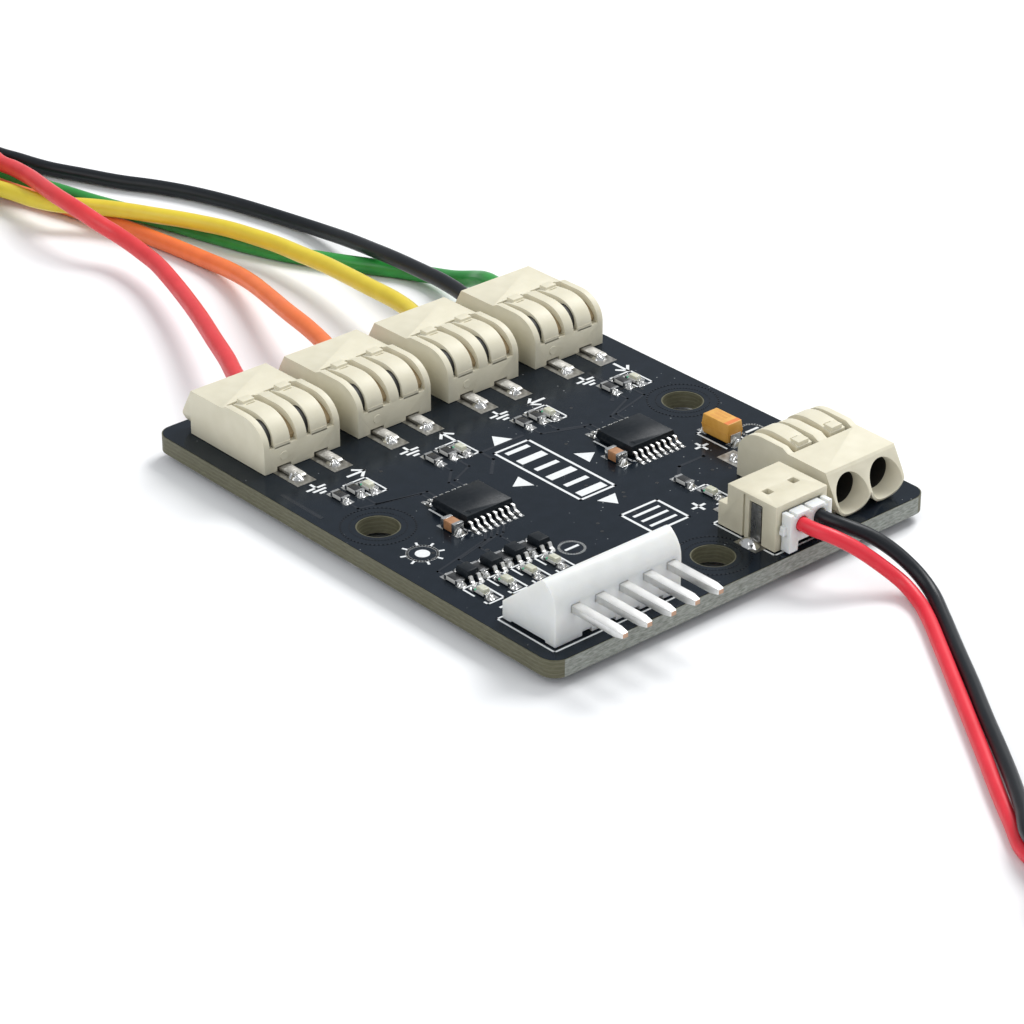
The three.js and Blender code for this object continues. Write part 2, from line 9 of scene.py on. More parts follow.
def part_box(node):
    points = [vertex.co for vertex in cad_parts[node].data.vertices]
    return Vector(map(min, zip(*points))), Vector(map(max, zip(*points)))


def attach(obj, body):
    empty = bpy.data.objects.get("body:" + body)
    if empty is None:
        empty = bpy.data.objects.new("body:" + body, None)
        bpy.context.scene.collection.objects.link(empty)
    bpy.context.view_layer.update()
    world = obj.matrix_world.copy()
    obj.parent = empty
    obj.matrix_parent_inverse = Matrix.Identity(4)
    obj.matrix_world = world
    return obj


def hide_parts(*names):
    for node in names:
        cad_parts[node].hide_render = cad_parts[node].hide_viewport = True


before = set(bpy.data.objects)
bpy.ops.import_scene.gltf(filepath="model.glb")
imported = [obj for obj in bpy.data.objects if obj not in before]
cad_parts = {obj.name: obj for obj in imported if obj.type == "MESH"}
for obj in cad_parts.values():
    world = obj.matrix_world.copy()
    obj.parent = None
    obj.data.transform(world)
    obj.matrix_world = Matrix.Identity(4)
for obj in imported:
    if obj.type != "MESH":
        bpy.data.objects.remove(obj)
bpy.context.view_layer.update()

# ---- driving sizes, in millimetres: x and y from the middle of the board, z from its top face ----
MM = 0.001
board_low, board_high = (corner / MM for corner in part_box("circuit_board"))
BOARD_MID = (board_low + board_high) / 2
BOARD_TOP = board_high.z
BOARD_X, BOARD_Y, BOARD_T = board_high - board_low
BOARD_CORNER = 1.5
HOLES = [(-17.0, 0.0), (17.0, 0.0), (0.0, -21.3)]
HOLE_R = 1.75
MASK_T = 0.03
PAD_T = 0.035
COPPER_BAND = (-0.001, 0.012)  # foot and top of the traces
INK_BAND = (-0.001, 0.02)  # foot and top of the printed lines

BLOCK_XS = [-14.65, -4.65, 5.35, 15.35]  # the four terminals in a row
BLOCK_BACK_Y = 12.8  # back faces of that row
FIFTH_X = 15.0  # the terminal on the front edge
BLOCK_W = 8.0
POLES = (-1.95, 1.95)  # a terminal's two poles, from its middle
TOP_Z = 4.15  # flat top of a terminal
ENTRY_Z = 2.1  # middle of a wire entry
BORE_R = 1.42
MOUTH_R = 1.92
LIP_Y = 11.45  # front of the lip around the wire entries, from a terminal's back face
LEVER_LEFT = -0.98  # a lever's sides, from its pole
LEVER_RIGHT = 0.74
LEVER_END = 5.5
POCKET_HALF = 1.45  # half width of the pocket a lever lies in
PIN_PITCH = 2.5
PIN_XS = [-17.0 + PIN_PITCH * i for i in range(5)]
PIN_Z = 2.85  # middle of the header's pins
PIN_LEG_Y = -19.6  # middle of their legs
SOCKET_X = 6.8
CHIPS = {"chip_left": (-9.4, -2.85), "chip_right": (8.8, -2.8)}
CHIP_LEAD_XS = [(i - 3.5) * 0.65 for i in range(8)]
HARNESS_R = 0.8
BLACK_R = 0.72
POWER_R = 0.6
PLUG_REACH = 15.4  # from the harness coil to the plug's wire side
SMOOTH_ANGLE = 38.0  # degrees between faces that shade as one


def on_board(x, y, z=0.0):
    """A point given from the middle of the board's top face, in metres."""
    return Vector((BOARD_MID.x + x, BOARD_MID.y + y, BOARD_TOP + z)) * MM


def put(name, data):
    """A new object of the scene."""
    obj = bpy.data.objects.new(name, data)
    bpy.context.scene.collection.objects.link(obj)
    return obj


# ---- camera ----
def make_camera():
    azimuth, elevation = math.radians(-41.26), math.radians(28.8)
    back = Vector((math.sin(azimuth) * math.cos(elevation), -math.cos(azimuth) * math.cos(elevation),
                   math.sin(elevation)))
    right = Vector((math.cos(azimuth), math.sin(azimuth), 0))
    up = back.cross(right)
    data = bpy.data.cameras.new("camera")
    data.lens = 123.69
    data.sensor_width = 36
    data.clip_start = 0.01
    data.clip_end = 10
    camera = put("camera", data)
    turn = Matrix((right, up, back)).transposed().to_4x4()
    camera.matrix_world = Matrix.Translation(Vector((-172.89, -192.14, 140.55)) * MM) @ turn
    bpy.context.scene.camera = camera


make_camera()


# ---- materials ----
def set_sockets(node, values):
    for socket, value in values.items():
        node.inputs[socket].default_value = value


def link_noise(tree, place, scale, detail=3.0, stretch=None):
    """A noise of the object's own coordinates; stretch scales it along each axis."""
    noise = tree.nodes.new("ShaderNodeTexNoise")
    set_sockets(noise, {"Scale": scale, "Detail": detail})
    source = place.outputs["Object"]
    if stretch:
        mapping = tree.nodes.new("ShaderNodeMapping")
        set_sockets(mapping, {"Scale": stretch})
        tree.links.new(source, mapping.inputs["Vector"])
        source = mapping.outputs["Vector"]
    tree.links.new(source, noise.inputs["Vector"])
    return noise.outputs["Fac"]


def map_range(tree, source, low, high, to_low, to_high):
    node = tree.nodes.new("ShaderNodeMapRange")
    set_sockets(node, {"From Min": low, "From Max": high, "To Min": to_low, "To Max": to_high})
    tree.links.new(source, node.inputs["Value"])
    return node.outputs["Result"]


def mix_colors(tree, factor, first, second):
    node = tree.nodes.new("ShaderNodeMix")
    node.data_type = "RGBA"
    tree.links.new(factor, node.inputs["Factor"])
    for socket, value in (("A", first), ("B", second)):
        target = [s for s in node.inputs if s.name == socket and s.type == "RGBA"][0]
        if isinstance(value, tuple):
            target.default_value = (*value, 1)
        else:
            tree.links.new(value, target)
    return [s for s in node.outputs if s.type == "RGBA"][0]


def surface(name, color, variation, roughness, grain=2500.0, bump=0.02, bump_scale=6000.0, rough_spread=0.06,
            stretch=None, metallic=0.0, subsurface=0.0, radius=0.6, specular=0.5, extra=None):
    """A material whose colour wanders between two close tones, with uneven gloss and a fine relief."""
    material = bpy.data.materials.new(name)
    material.use_nodes = True
    tree = material.node_tree
    shader = tree.nodes["Principled BSDF"]
    place = tree.nodes.new("ShaderNodeTexCoord")
    tone = map_range(tree, link_noise(tree, place, grain, 4.0, stretch), 0.3, 0.7, 0.0, 1.0)
    shade = mix_colors(tree, tone, color, variation)
    if extra:
        shade = extra(tree, place, shade)
    tree.links.new(shade, shader.inputs["Base Color"])
    gloss = link_noise(tree, place, grain * 0.4)
    spread = map_range(tree, gloss, 0.3, 0.7, roughness - rough_spread, roughness + rough_spread)
    tree.links.new(spread, shader.inputs["Roughness"])
    relief = tree.nodes.new("ShaderNodeBump")
    set_sockets(relief, {"Strength": 0.5, "Distance": bump * MM})
    tree.links.new(link_noise(tree, place, bump_scale, 2.0, stretch), relief.inputs["Height"])
    tree.links.new(relief.outputs["Normal"], shader.inputs["Normal"])
    set_sockets(shader, {"Metallic": metallic, "Specular IOR Level": specular})
    if subsurface:
        set_sockets(shader, {"Subsurface Weight": subsurface, "Subsurface Radius": (1.0, 0.85, 0.6),
                             "Subsurface Scale": radius * MM})
    return material


def dust(tree, place, shade):
    """Pale specks of dust, a few to the square millimetre, each a few hundredths wide."""
    cells = tree.nodes.new("ShaderNodeTexVoronoi")
    set_sockets(cells, {"Scale": 1300.0})
    tree.links.new(place.outputs["Object"], cells.inputs["Vector"])
    both = tree.nodes.new("ShaderNodeMath")
    both.operation = "MULTIPLY"
    tree.links.new(map_range(tree, cells.outputs["Distance"], 0.055, 0.1, 1.0, 0.0), both.inputs[0])
    tree.links.new(map_range(tree, link_noise(tree, place, 900.0), 0.53, 0.6, 0.0, 0.55), both.inputs[1])
    return mix_colors(tree, both.outputs["Value"], shade, (0.45, 0.47, 0.46))


def plies(tree, place, shade):
    """The glass cloth's layers, seen as pale lines along the cut edge."""
    wave = tree.nodes.new("ShaderNodeTexWave")
    wave.bands_direction = "Z"
    set_sockets(wave, {"Scale": 900.0, "Distortion": 2.5, "Detail": 3.0, "Detail Scale": 1.2})
    tree.links.new(place.outputs["Object"], wave.inputs["Vector"])
    lines = map_range(tree, wave.outputs["Fac"], 0.55, 0.95, 0.0, 0.08)
    return mix_colors(tree, lines, shade, (0.4, 0.4, 0.3))


MASK = surface("solder_mask_black", (0.005, 0.008, 0.0125), (0.0075, 0.011, 0.017), 0.2, 900, 0.006, 1500, 0.05,
               specular=0.2, extra=dust)
set_sockets(MASK.node_tree.nodes["Principled BSDF"], {"Specular Tint": (0.55, 0.8, 1.0, 1)})
TRACE = surface("masked_copper", (0.008, 0.012, 0.018), (0.011, 0.015, 0.022), 0.24, 900, 0.006, 1500,
                specular=0.32)
ROUTED = surface("routed_laminate", (0.08, 0.077, 0.045), (0.12, 0.115, 0.07), 0.5, 1600, 0.03, 5000,
                 stretch=(1, 1, 5), specular=0.3, extra=plies)
SNAPPED = surface("snapped_laminate", (0.16, 0.17, 0.15), (0.34, 0.36, 0.33), 0.65, 1700, 0.12, 4000,
                  stretch=(1, 1, 4), specular=0.3, extra=plies)
IVORY = surface("ivory_nylon", (0.61, 0.572, 0.44), (0.655, 0.617, 0.485), 0.5, 700, 0.012, 9000,
                subsurface=0.08, radius=0.4, specular=0.35)
SOCKET_IVORY = surface("socket_ivory", (0.58, 0.54, 0.41), (0.63, 0.59, 0.455), 0.48, 800, 0.012, 9000,
                       subsurface=0.08, radius=0.4, specular=0.35)
NYLON = surface("white_nylon", (0.645, 0.66, 0.648), (0.69, 0.702, 0.69), 0.4, 600, 0.012, 7000,
                subsurface=0.4, radius=1.4, specular=0.35)
TIN = surface("tin_plate", (0.68, 0.68, 0.665), (0.74, 0.74, 0.725), 0.42, 2000, 0.006, 3000, 0.04,
              stretch=(6, 1, 1), metallic=1.0)
PAD_TIN = surface("tinned_pad", (0.24, 0.235, 0.215), (0.4, 0.39, 0.365), 0.42, 2600, 0.05, 3500, 0.1, metallic=1.0)
STEEL = surface("clip_steel", (0.16, 0.16, 0.155), (0.26, 0.26, 0.25), 0.3, 2600, 0.02, 3500, 0.1, metallic=1.0)
SOLDER = surface("solder", (0.55, 0.55, 0.54), (0.68, 0.68, 0.67), 0.2, 2000, 0.04, 3000, 0.08, metallic=1.0)
COPPER = surface("cut_copper", (0.42, 0.26, 0.17), (0.5, 0.33, 0.24), 0.4, 5000, 0.02, 8000, metallic=1.0)
EPOXY = surface("black_epoxy", (0.006, 0.009, 0.012), (0.011, 0.014, 0.018), 0.36, 3000, 0.015, 15000,
                specular=0.16)
CERAMIC_BLACK = surface("resistor_glaze", (0.008, 0.009, 0.01), (0.02, 0.021, 0.023), 0.3, 5000, 0.02, 9000)
ALUMINA = surface("alumina", (0.5, 0.5, 0.48), (0.58, 0.58, 0.56), 0.5, 4000, 0.01, 9000)
CERAMIC = surface("brown_ceramic", (0.3, 0.14, 0.06), (0.42, 0.21, 0.1), 0.42, 3000, 0.02, 8000)
TANTALUM = surface("tantalum_epoxy", (0.6, 0.29, 0.045), (0.68, 0.36, 0.07), 0.42, 1500, 0.015, 9000)
TANTALUM_BAR = surface("polarity_bar", (0.62, 0.16, 0.03), (0.72, 0.22, 0.05), 0.45, 1500, 0.01, 9000)
TANTALUM_PRINT = surface("faint_print", (0.55, 0.24, 0.04), (0.62, 0.3, 0.06), 0.45, 1500, 0.01, 9000)
LENS = surface("led_resin", (0.45, 0.46, 0.36), (0.6, 0.6, 0.5), 0.2, 2500, 0.02, 4000, subsurface=0.4,
               radius=0.3)
LED_GREEN = surface("led_mark", (0.05, 0.4, 0.2), (0.1, 0.5, 0.28), 0.35, 3000, 0.01, 6000)
SILK = surface("legend_ink", (0.64, 0.66, 0.66), (0.74, 0.755, 0.755), 0.5, 4000, 0.02, 8000)
VIA = surface("masked_via", (0.004, 0.005, 0.006), (0.008, 0.009, 0.011), 0.3, 3000, 0.02, 6000)
# The ivory plastic in a darker warm tan: painted shade for the ledges in the slots beside the levers.
IVORY_PAINTED_SHADE = surface("ivory_painted_shade", (0.3, 0.22, 0.12), (0.38, 0.29, 0.17), 0.5, 1500, 0.01, 6000, specular=0.2)
# Near-black plastic: painted shade, standing for the dark depths of the wire bores and of the slots beside the
# levers.
SHADE = surface("painted_inner_shade", (0.006, 0.005, 0.004), (0.012, 0.01, 0.007), 0.6, 2000, 0.01, 6000)


def wire_look(name, color, darker, specular=0.4):
    return surface(f"pvc_{name}", color, darker, 0.38, 500, 0.008, 2600, 0.07, specular=specular,
                   subsurface=0.06, radius=0.4)


WIRES = {
    "red": wire_look("red", (0.68, 0.042, 0.048), (0.6, 0.032, 0.038)),
    "orange": wire_look("orange", (0.8, 0.18, 0.045), (0.73, 0.15, 0.038)),
    "yellow": wire_look("yellow", (0.7, 0.56, 0.042), (0.64, 0.5, 0.036)),
    "green": wire_look("green", (0.025, 0.28, 0.045), (0.018, 0.22, 0.035)),
    "black": wire_look("black", (0.009, 0.011, 0.014), (0.006, 0.008, 0.011), 0.26),
}
POWER_LOOKS = {"red": wire_look("power_red", (0.72, 0.025, 0.045), (0.65, 0.02, 0.035)),
               "black": WIRES["black"]}


# ---- mesh code, in millimetres ----
PLACES = {"x": lambda a, b, c: (c, a, b), "y": lambda a, b, c: (a, c, b), "z": lambda a, b, c: (a, b, c)}


def add_prism(bm, outline, low, high, axis="x", shrink=1.0):
    """An outline drawn out along an axis: (y, z) along x, (x, z) along y, (x, y) along z."""
    place = PLACES[axis]
    mid_a = sum(a for a, b in outline) / len(outline)
    mid_b = sum(b for a, b in outline) / len(outline)
    near = [bm.verts.new(place(a, b, low)) for a, b in outline]
    far = [bm.verts.new(place(mid_a + (a - mid_a) * shrink, mid_b + (b - mid_b) * shrink, high))
           for a, b in outline]
    bm.faces.new(near)
    bm.faces.new(far)
    for i in range(len(outline)):
        j = (i + 1) % len(outline)
        bm.faces.new((near[i], near[j], far[j], far[i]))


def add_box(bm, x0, x1, y0, y1, z0, z1, shrink=1.0):
    add_prism(bm, [(x0, y0), (x1, y0), (x1, y1), (x0, y1)], z0, z1, "z", shrink)


def add_block(bm, x, y, half_x, half_y, z0, z1, shrink=1.0):
    """A box given by its middle and half widths."""
    add_box(bm, x - half_x, x + half_x, y - half_y, y + half_y, z0, z1, shrink)


def circle(radius, x=0.0, y=0.0, sides=32):
    return [(x + radius * math.cos(2 * math.pi * i / sides), y + radius * math.sin(2 * math.pi * i / sides))
            for i in range(sides)]


def loft(bm, rings, caps=True):
    """Faces between rings of vertices, and over the two end rings."""
    if caps:
        bm.faces.new(rings[0])
        bm.faces.new(rings[-1])
    for near, far in zip(rings, rings[1:]):
        for i in range(len(near)):
            bm.faces.new((near[i], near[i - 1], far[i - 1], far[i]))


def add_cone(bm, r0, r1, y0, y1, x, z, sides=40):
    """A round piece along y."""
    loft(bm, [[bm.verts.new((a, y, b)) for a, b in circle(r, x, z, sides)] for r, y in ((r0, y0), (r1, y1))])


def bezier(p0, p1, p2, p3, steps=14):
    points = []
    for i in range(steps + 1):
        t = i / steps
        points.append(tuple((1 - t) ** 3 * a + 3 * (1 - t) ** 2 * t * b + 3 * (1 - t) * t * t * c + t ** 3 * d
                            for a, b, c, d in zip(p0, p1, p2, p3)))
    return points


def to_mesh(bm, name):
    bmesh.ops.remove_doubles(bm, verts=bm.verts, dist=1e-5)
    bmesh.ops.recalc_face_normals(bm, faces=bm.faces)
    mesh = bpy.data.meshes.new(name)
    bm.to_mesh(mesh)
    bm.free()
    return mesh


def built(name, *steps):
    """A mesh made by one or more steps, each a function of a bmesh."""
    bm = bmesh.new()
    for step in steps:
        step(bm)
    return to_mesh(bm, name)


def baked(obj):
    """The object's mesh with its modifiers applied; the object itself is removed."""
    bpy.context.view_layer.update()
    mesh = bpy.data.meshes.new_from_object(obj.evaluated_get(bpy.context.evaluated_depsgraph_get()))
    bpy.data.objects.remove(obj)
    return mesh


def combine(base, other, operation):
    """A boolean of two meshes."""
    first, second = put("base", base), put("tool", other)
    cutter = first.modifiers.new("cut", "BOOLEAN")
    cutter.operation = operation
    cutter.solver = "EXACT"
    cutter.use_self = True
    cutter.object = second
    mesh = baked(first)
    bpy.data.objects.remove(second)
    return mesh


def prism(outline, low, high, axis="x", shrink=1.0):
    """A mesh of one outline drawn out along an axis."""
    return built("prism", lambda bm: add_prism(bm, outline, low, high, axis, shrink))


def cut(body, *steps):
    """The body less what each step adds, one step after another."""
    for step in steps:
        body = combine(body, built("cut", step), "DIFFERENCE")
    return body


def softened(mesh, width, segments=2, angle=35.0, flats=True):
    """Rounded edges: real mouldings have no sharp ones."""
    bm = bmesh.new()
    bm.from_mesh(mesh)
    bmesh.ops.remove_doubles(bm, verts=bm.verts, dist=1e-4)
    if flats:
        bmesh.ops.dissolve_limit(bm, angle_limit=math.radians(0.6), verts=bm.verts, edges=bm.edges)
    bm.to_mesh(mesh)
    bm.free()
    obj = put("soft", mesh)
    bevel = obj.modifiers.new("bevel", "BEVEL")
    bevel.width = width
    bevel.segments = segments
    bevel.limit_method = "ANGLE"
    bevel.angle_limit = math.radians(angle)
    bevel.miter_outer = "MITER_ARC"
    return baked(obj)


def piece(name, mesh, materials, at=None, turn=0.0, body="root", replaces=None, scaled=False):
    """Puts a mesh of millimetres in the scene, on its body; at is in metres."""
    if not scaled:
        mesh.transform(Matrix.Scale(MM, 4))
    materials = materials if isinstance(materials, list) else [materials]
    for material in materials:
        if material.name not in mesh.materials:
            mesh.materials.append(material)
    mesh.shade_smooth()
    mesh.set_sharp_from_angle(angle=math.radians(SMOOTH_ANGLE))
    obj = put(name, mesh)
    obj.matrix_world = Matrix.Translation(on_board(0, 0) if at is None else at) @ Matrix.Rotation(turn, 4, "Z")
    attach(obj, body)
    if replaces:
        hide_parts(replaces)
    return obj


# ---- leads: routes in millimetres in the object's frame ----
def smooth_line(points, step=0.5):
    """A centripetal Catmull-Rom curve through the points, as a list of points about a step apart."""
    line = []
    count = len(points)
    for i in range(count - 1):
        p1, p2 = Vector(points[i]), Vector(points[i + 1])
        p0 = Vector(points[i - 1]) if i > 0 else 2 * p1 - p2
        p3 = Vector(points[i + 2]) if i + 2 < count else 2 * p2 - p1
        d0, d1, d2 = (max((b - a).length ** 0.5, 1e-3) for a, b in ((p0, p1), (p1, p2), (p2, p3)))
        t1 = ((p1 - p0) / d0 - (p2 - p0) / (d0 + d1) + (p2 - p1) / d1) * d1
        t2 = ((p2 - p1) / d1 - (p3 - p1) / (d1 + d2) + (p3 - p2) / d2) * d1
        pieces = max(2, round((p2 - p1).length / step))
        for k in range(pieces):
            t = k / pieces
            line.append(p1 * (2 * t ** 3 - 3 * t * t + 1) + p2 * (3 * t * t - 2 * t ** 3)
                        + t1 * (t ** 3 - 2 * t * t + t) + t2 * (t ** 3 - t * t))
    line.append(Vector(points[-1]))
    return line


def line_length(line):
    return sum((b - a).length for a, b in zip(line, line[1:]))


def ease(t):
    t = min(max(t, 0.0), 1.0)
    return t * t * (3 - 2 * t)


HARNESS_ROUTES = {
    "red": [
        (-12.6, 23.6, 4.6), (-12.2, 26.2, 4.5), (-11.1, 28.7, 4.25), (-9.7, 31.6, 4.1), (-7.8, 36, 3.8),
        (-5.3, 41.6, 3.3), (-3.2, 46.8, 2.9), (-1.7, 51, 2.7), (-0.6, 54.6, 2.6), (-0.1, 57.5, 2.6),
        (0.1, 60, 2.75), (-0.1, 62, 3.1), (-0.6, 63.5, 3.6), (-0.9, 65.3, 4.05), (-1, 67.4, 4.3),
        (-0.8, 70.1, 4.3), (-0.1, 73.5, 4), (0.9, 77.3, 3.5), (1.6, 81.3, 3), (1.9, 84.2, 2.6),
        (2.5, 88, 2.9), (2.5, 91.6, 3.4),
    ],
    "orange": [
        (-2.6, 23.6, 4.6), (-2.3, 26.2, 4.5), (-1.3, 28.9, 4.25), (-0.2, 32.4, 3.95), (1, 36.7, 3.5),
        (2.6, 41.4, 2.8), (4.3, 46.7, 2), (5.3, 51.4, 1.3), (5.5, 55.4, 0.9), (5.3, 59, 0.8),
        (4.9, 62.2, 0.8), (4.4, 65.5, 0.8), (3.8, 68.6, 0.8), (3.3, 71.9, 0.8), (2.5, 75.5, 0.8),
        (1.7, 78.5, 0.8), (1, 81.7, 0.8), (0.5, 85.8, 0.8), (0.8, 90.2, 0.85),
    ],
    "yellow": [
        (7.4, 23.6, 4.6), (7.7, 26.2, 4.5), (8.6, 29, 4.25), (9.1, 31.8, 4.1), (9.5, 35.1, 3.8),
        (10.2, 39.4, 3.3), (10.7, 43.6, 2.9), (10.8, 47.4, 2.6), (10.7, 50.9, 2.45), (10.1, 53.9, 2.45),
        (9.4, 56.7, 2.45), (8.4, 59.2, 2.45), (7.3, 61.6, 2.45), (6.1, 63.8, 2.45), (4.9, 66.1, 2.45),
        (3.6, 68.3, 2.45), (2.2, 70.2, 2.45), (0.6, 72, 2.45), (-0.2, 74.9, 2.2), (-0.5, 78.7, 1.9),
        (-1.3, 84.2, 1.6), (-0.9, 88.4, 1.8), (-0.1, 91.8, 2.3),
    ],
    "black": [
        (13.5, 23.6, 4.6), (13.7, 26.2, 4.5), (14.4, 29, 4.3), (14.9, 31.9, 4.1), (15.3, 34.6, 3.8),
        (16, 39.5, 3.2), (16.7, 43.9, 2.5), (17.3, 48.4, 1.8), (17.6, 52.4, 1.2), (17.4, 56.4, 0.85),
        (16.6, 60.5, 0.8), (15.5, 64.8, 0.8), (14.1, 68.9, 0.8), (12.4, 72.5, 0.8), (10.4, 75.9, 0.8),
        (8.7, 79.6, 0.8), (7, 83.4, 0.8), (6, 87.2, 0.8), (5, 90.6, 0.95),
    ],
    "green": [
        (17.3, 23.6, 4.6), (17.3, 26.6, 4.6), (17.9, 28.9, 4.2), (18.8, 31.6, 3.1), (18.8, 34.2, 2.2),
        (19, 37.4, 1.3), (18.5, 40.3, 0.85), (17.2, 42.8, 0.8), (15.4, 45.7, 0.8), (13.8, 48.5, 0.8),
        (12.2, 51.4, 0.8), (10.9, 54.7, 0.8), (9.8, 58.3, 0.8), (8.8, 62.1, 0.8), (7.8, 65.9, 0.8),
        (6.7, 69.6, 0.8), (5.6, 73.2, 0.8), (4.5, 77.8, 0.8), (3.3, 82.2, 0.8), (2.7, 84.6, 0.8),
        (2.6, 88.2, 0.85), (2.9, 91.6, 0.95),
    ],
}
POWER_ROUTES = {
    "red": [
        (5.8, -21.9, 5), (5.8, -24.6, 5), (6.5, -26.2, 4.7), (7.7, -27.5, 3.8), (9.1, -28.9, 2.4),
        (9.9, -30.8, 1.2), (9.4, -33, 0.65), (8.2, -35.1, 0.6), (5.4, -39.1, 0.6), (2.4, -43.3, 0.6),
        (-0.6, -47.5, 0.6), (-3.4, -51.4, 0.6), (-6.1, -55.1, 0.6), (-8.6, -58.7, 0.6), (-10.4, -61.3, 0.6),
    ],
    "black": [
        (7.8, -21.9, 5), (7.8, -24.3, 5), (8.4, -25.9, 4.8), (9.5, -27.4, 4.2), (10.6, -29, 3.1),
        (11.2, -31, 1.8), (10.9, -33, 0.9), (9.2, -35.8, 0.6), (6.4, -39.8, 0.6), (3.4, -44.1, 0.67),
        (0.4, -48.2, 0.78), (-2.4, -52.1, 0.95), (-5.2, -55.8, 1.23), (-8, -59.2, 1.6),
        (-10.1, -61.5, 1.82),
    ],
}

HARNESS = {"base": 2.25, "reach": 1.42, "coil": 8.8, "join": (2.2, 95.0), "heading": (-0.25, 0.968),
           "straight": 9.3, "layer": 4.5, "turns": 2.0,
           "tail": [(3.5, 6.4), (8.0, 5.6), (11.0, 4.2), (13.6, 3.1), (15.4, 2.9), (17.2, 2.9)]}
POWER = {"base": 1.225, "reach": 0.63, "coil": 6.6, "join": (-11.4, -64.2), "heading": (-0.35, -0.937),
         "straight": 4.9, "layer": 2.5, "turns": 3.0,
         "tail": [(2.5, 3.5), (5.2, 2.6), (8.0, 1.8), (12.0, 1.3), (15.0, 1.1), (17.0, 0.95)]}
BUNDLE_ANGLES = {"yellow": 162, "orange": 234, "red": 90, "green": 306, "black": 18}
POWER_ANGLES = {"red": -90, "black": 90}


def bundle_line(lead):
    """The bundle's centreline: straight to the coil, one and a half turns, and straight out again."""
    heading = Vector((*lead["heading"], 0)).normalized()
    across = Vector((-heading.y, heading.x, 0))
    join = Vector((*lead["join"], lead["base"]))
    start = join + heading * lead["straight"]
    middle = start + across * lead["coil"]
    points = [join, join + heading * lead["straight"] * 0.5]
    step = 15
    for degrees in range(0, 540 + step, step):
        angle = math.radians(degrees)
        rise = lead["layer"] * ease((degrees - 180) / 150)
        points.append(middle + lead["coil"] * (heading * math.sin(angle) - across * math.cos(angle))
                      + Vector((0, 0, rise)))
    leave = middle + across * lead["coil"]
    points += [leave - heading * d + Vector((0, 0, z - lead["base"])) for d, z in lead["tail"]]
    return smooth_line(points, 0.6), leave, -heading


def strand_line(lead, route, degrees, fan, fan_length):
    """One lead: its own route, then its place in the twisted bundle, then its place in the row at the end."""
    line, leave, away = bundle_line(lead)
    total = line_length(line)
    done = 0.0
    strand = []
    for i, point in enumerate(line):
        if i:
            done += (point - line[i - 1]).length
        tangent = (line[min(i + 1, len(line) - 1)] - line[max(i - 1, 0)]).normalized()
        side = Vector((tangent.y, -tangent.x, 0)).normalized()
        lift = side.cross(tangent)
        angle = math.radians(degrees) + 2 * math.pi * lead["turns"] * done / (total - fan_length)
        twisted = lead["reach"] * (math.cos(angle) * side + math.sin(angle) * lift)
        part = ease((done - (total - fan_length)) / (fan_length * 0.85))
        if part > 0:
            still = math.radians(degrees)
            twisted = lead["reach"] * (math.cos(still) * side + math.sin(still) * lift)
        strand.append(point + twisted * (1 - part) + side * fan * part)
    own = smooth_line(route + [tuple(strand[0])], 0.5)
    return own[:-1] + strand


def lead_piece(name, line, radius, look, nodes):
    data = bpy.data.curves.new(name, "CURVE")
    data.dimensions = "3D"
    data.bevel_depth = radius * MM
    data.bevel_resolution = 5
    data.use_fill_caps = True
    spline = data.splines.new("POLY")
    spline.points.add(len(line) - 1)
    for knot, place in zip(spline.points, line):
        knot.co = (*(place * MM), 1)
    data.materials.append(look)
    obj = put(name, data)
    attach(obj, "root")
    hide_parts(*nodes)


def make_harness_plug():
    """The five-way plug on the harness's far end, with its wire entries and contact windows."""
    line, leave, away = bundle_line(HARNESS)
    tail_end = leave + away * PLUG_REACH
    half = 2 * PIN_PITCH + 2.1
    outline = [(0.0, 0.18), (0.15, 0.03), (7.75, 0.03), (7.9, 0.18), (7.9, 4.9), (6.4, 5.6), (2.2, 5.6), (0.0, 4.9)]
    body = prism([(-a, b) for a, b in outline], -half, half)

    def cuts(bm):
        for i in range(5):
            x = (i - 2) * PIN_PITCH
            add_cone(bm, 0.92, 0.92, -2.4, 1.0, x, 2.9, 24)
            add_box(bm, x - 0.6, x + 0.6, -9.0, -5.2, 2.45, 3.35)
            add_box(bm, x - 0.55, x + 0.55, -5.4, -3.0, 4.6, 6.5)
        add_box(bm, -half - 1, -half + 0.5, -6.2, -1.6, 1.2, 4.0)
        add_box(bm, half - 0.5, half + 1, -6.2, -1.6, 1.2, 4.0)

    body = softened(cut(body, cuts), 0.12)
    turn = math.atan2(away.y, away.x) + math.pi / 2
    place = Vector((tail_end.x, tail_end.y, 0)) * MM
    plug = piece("harness_plug_body", body, NYLON, place, turn, replaces="harness_plug")

    def metal(bm):
        for i in range(5):
            x = (i - 2) * PIN_PITCH
            add_box(bm, x - 0.45, x + 0.45, -5.2, -3.1, 4.5, 4.85)

    contacts = piece("harness_plug_contacts", softened(built("plug_metal", metal), 0.06), TIN, place, turn)
    return [plug, contacts]


def make_bare_end(name, end, direction):
    """Seven tinned strands twisted together, with the insulation stripped off."""
    side = direction.cross(Vector((0, 0, 1))).normalized()
    lift = side.cross(direction)

    def strands(bm):
        for k in range(7):
            reach = 0.0 if k == 0 else 0.21
            rings = []
            for i in range(13):
                angle = 2 * math.pi * k / 6 + i * 0.35
                centre = direction * (i * 0.25 - 0.2) + reach * (math.cos(angle) * side + math.sin(angle) * lift)
                rings.append([bm.verts.new(centre + 0.105 * (math.cos(t) * side + math.sin(t) * lift))
                              for t in (2 * math.pi * n / 8 for n in range(8))])
            loft(bm, rings)

    return piece(name, built(name, strands), SOLDER, end * MM)


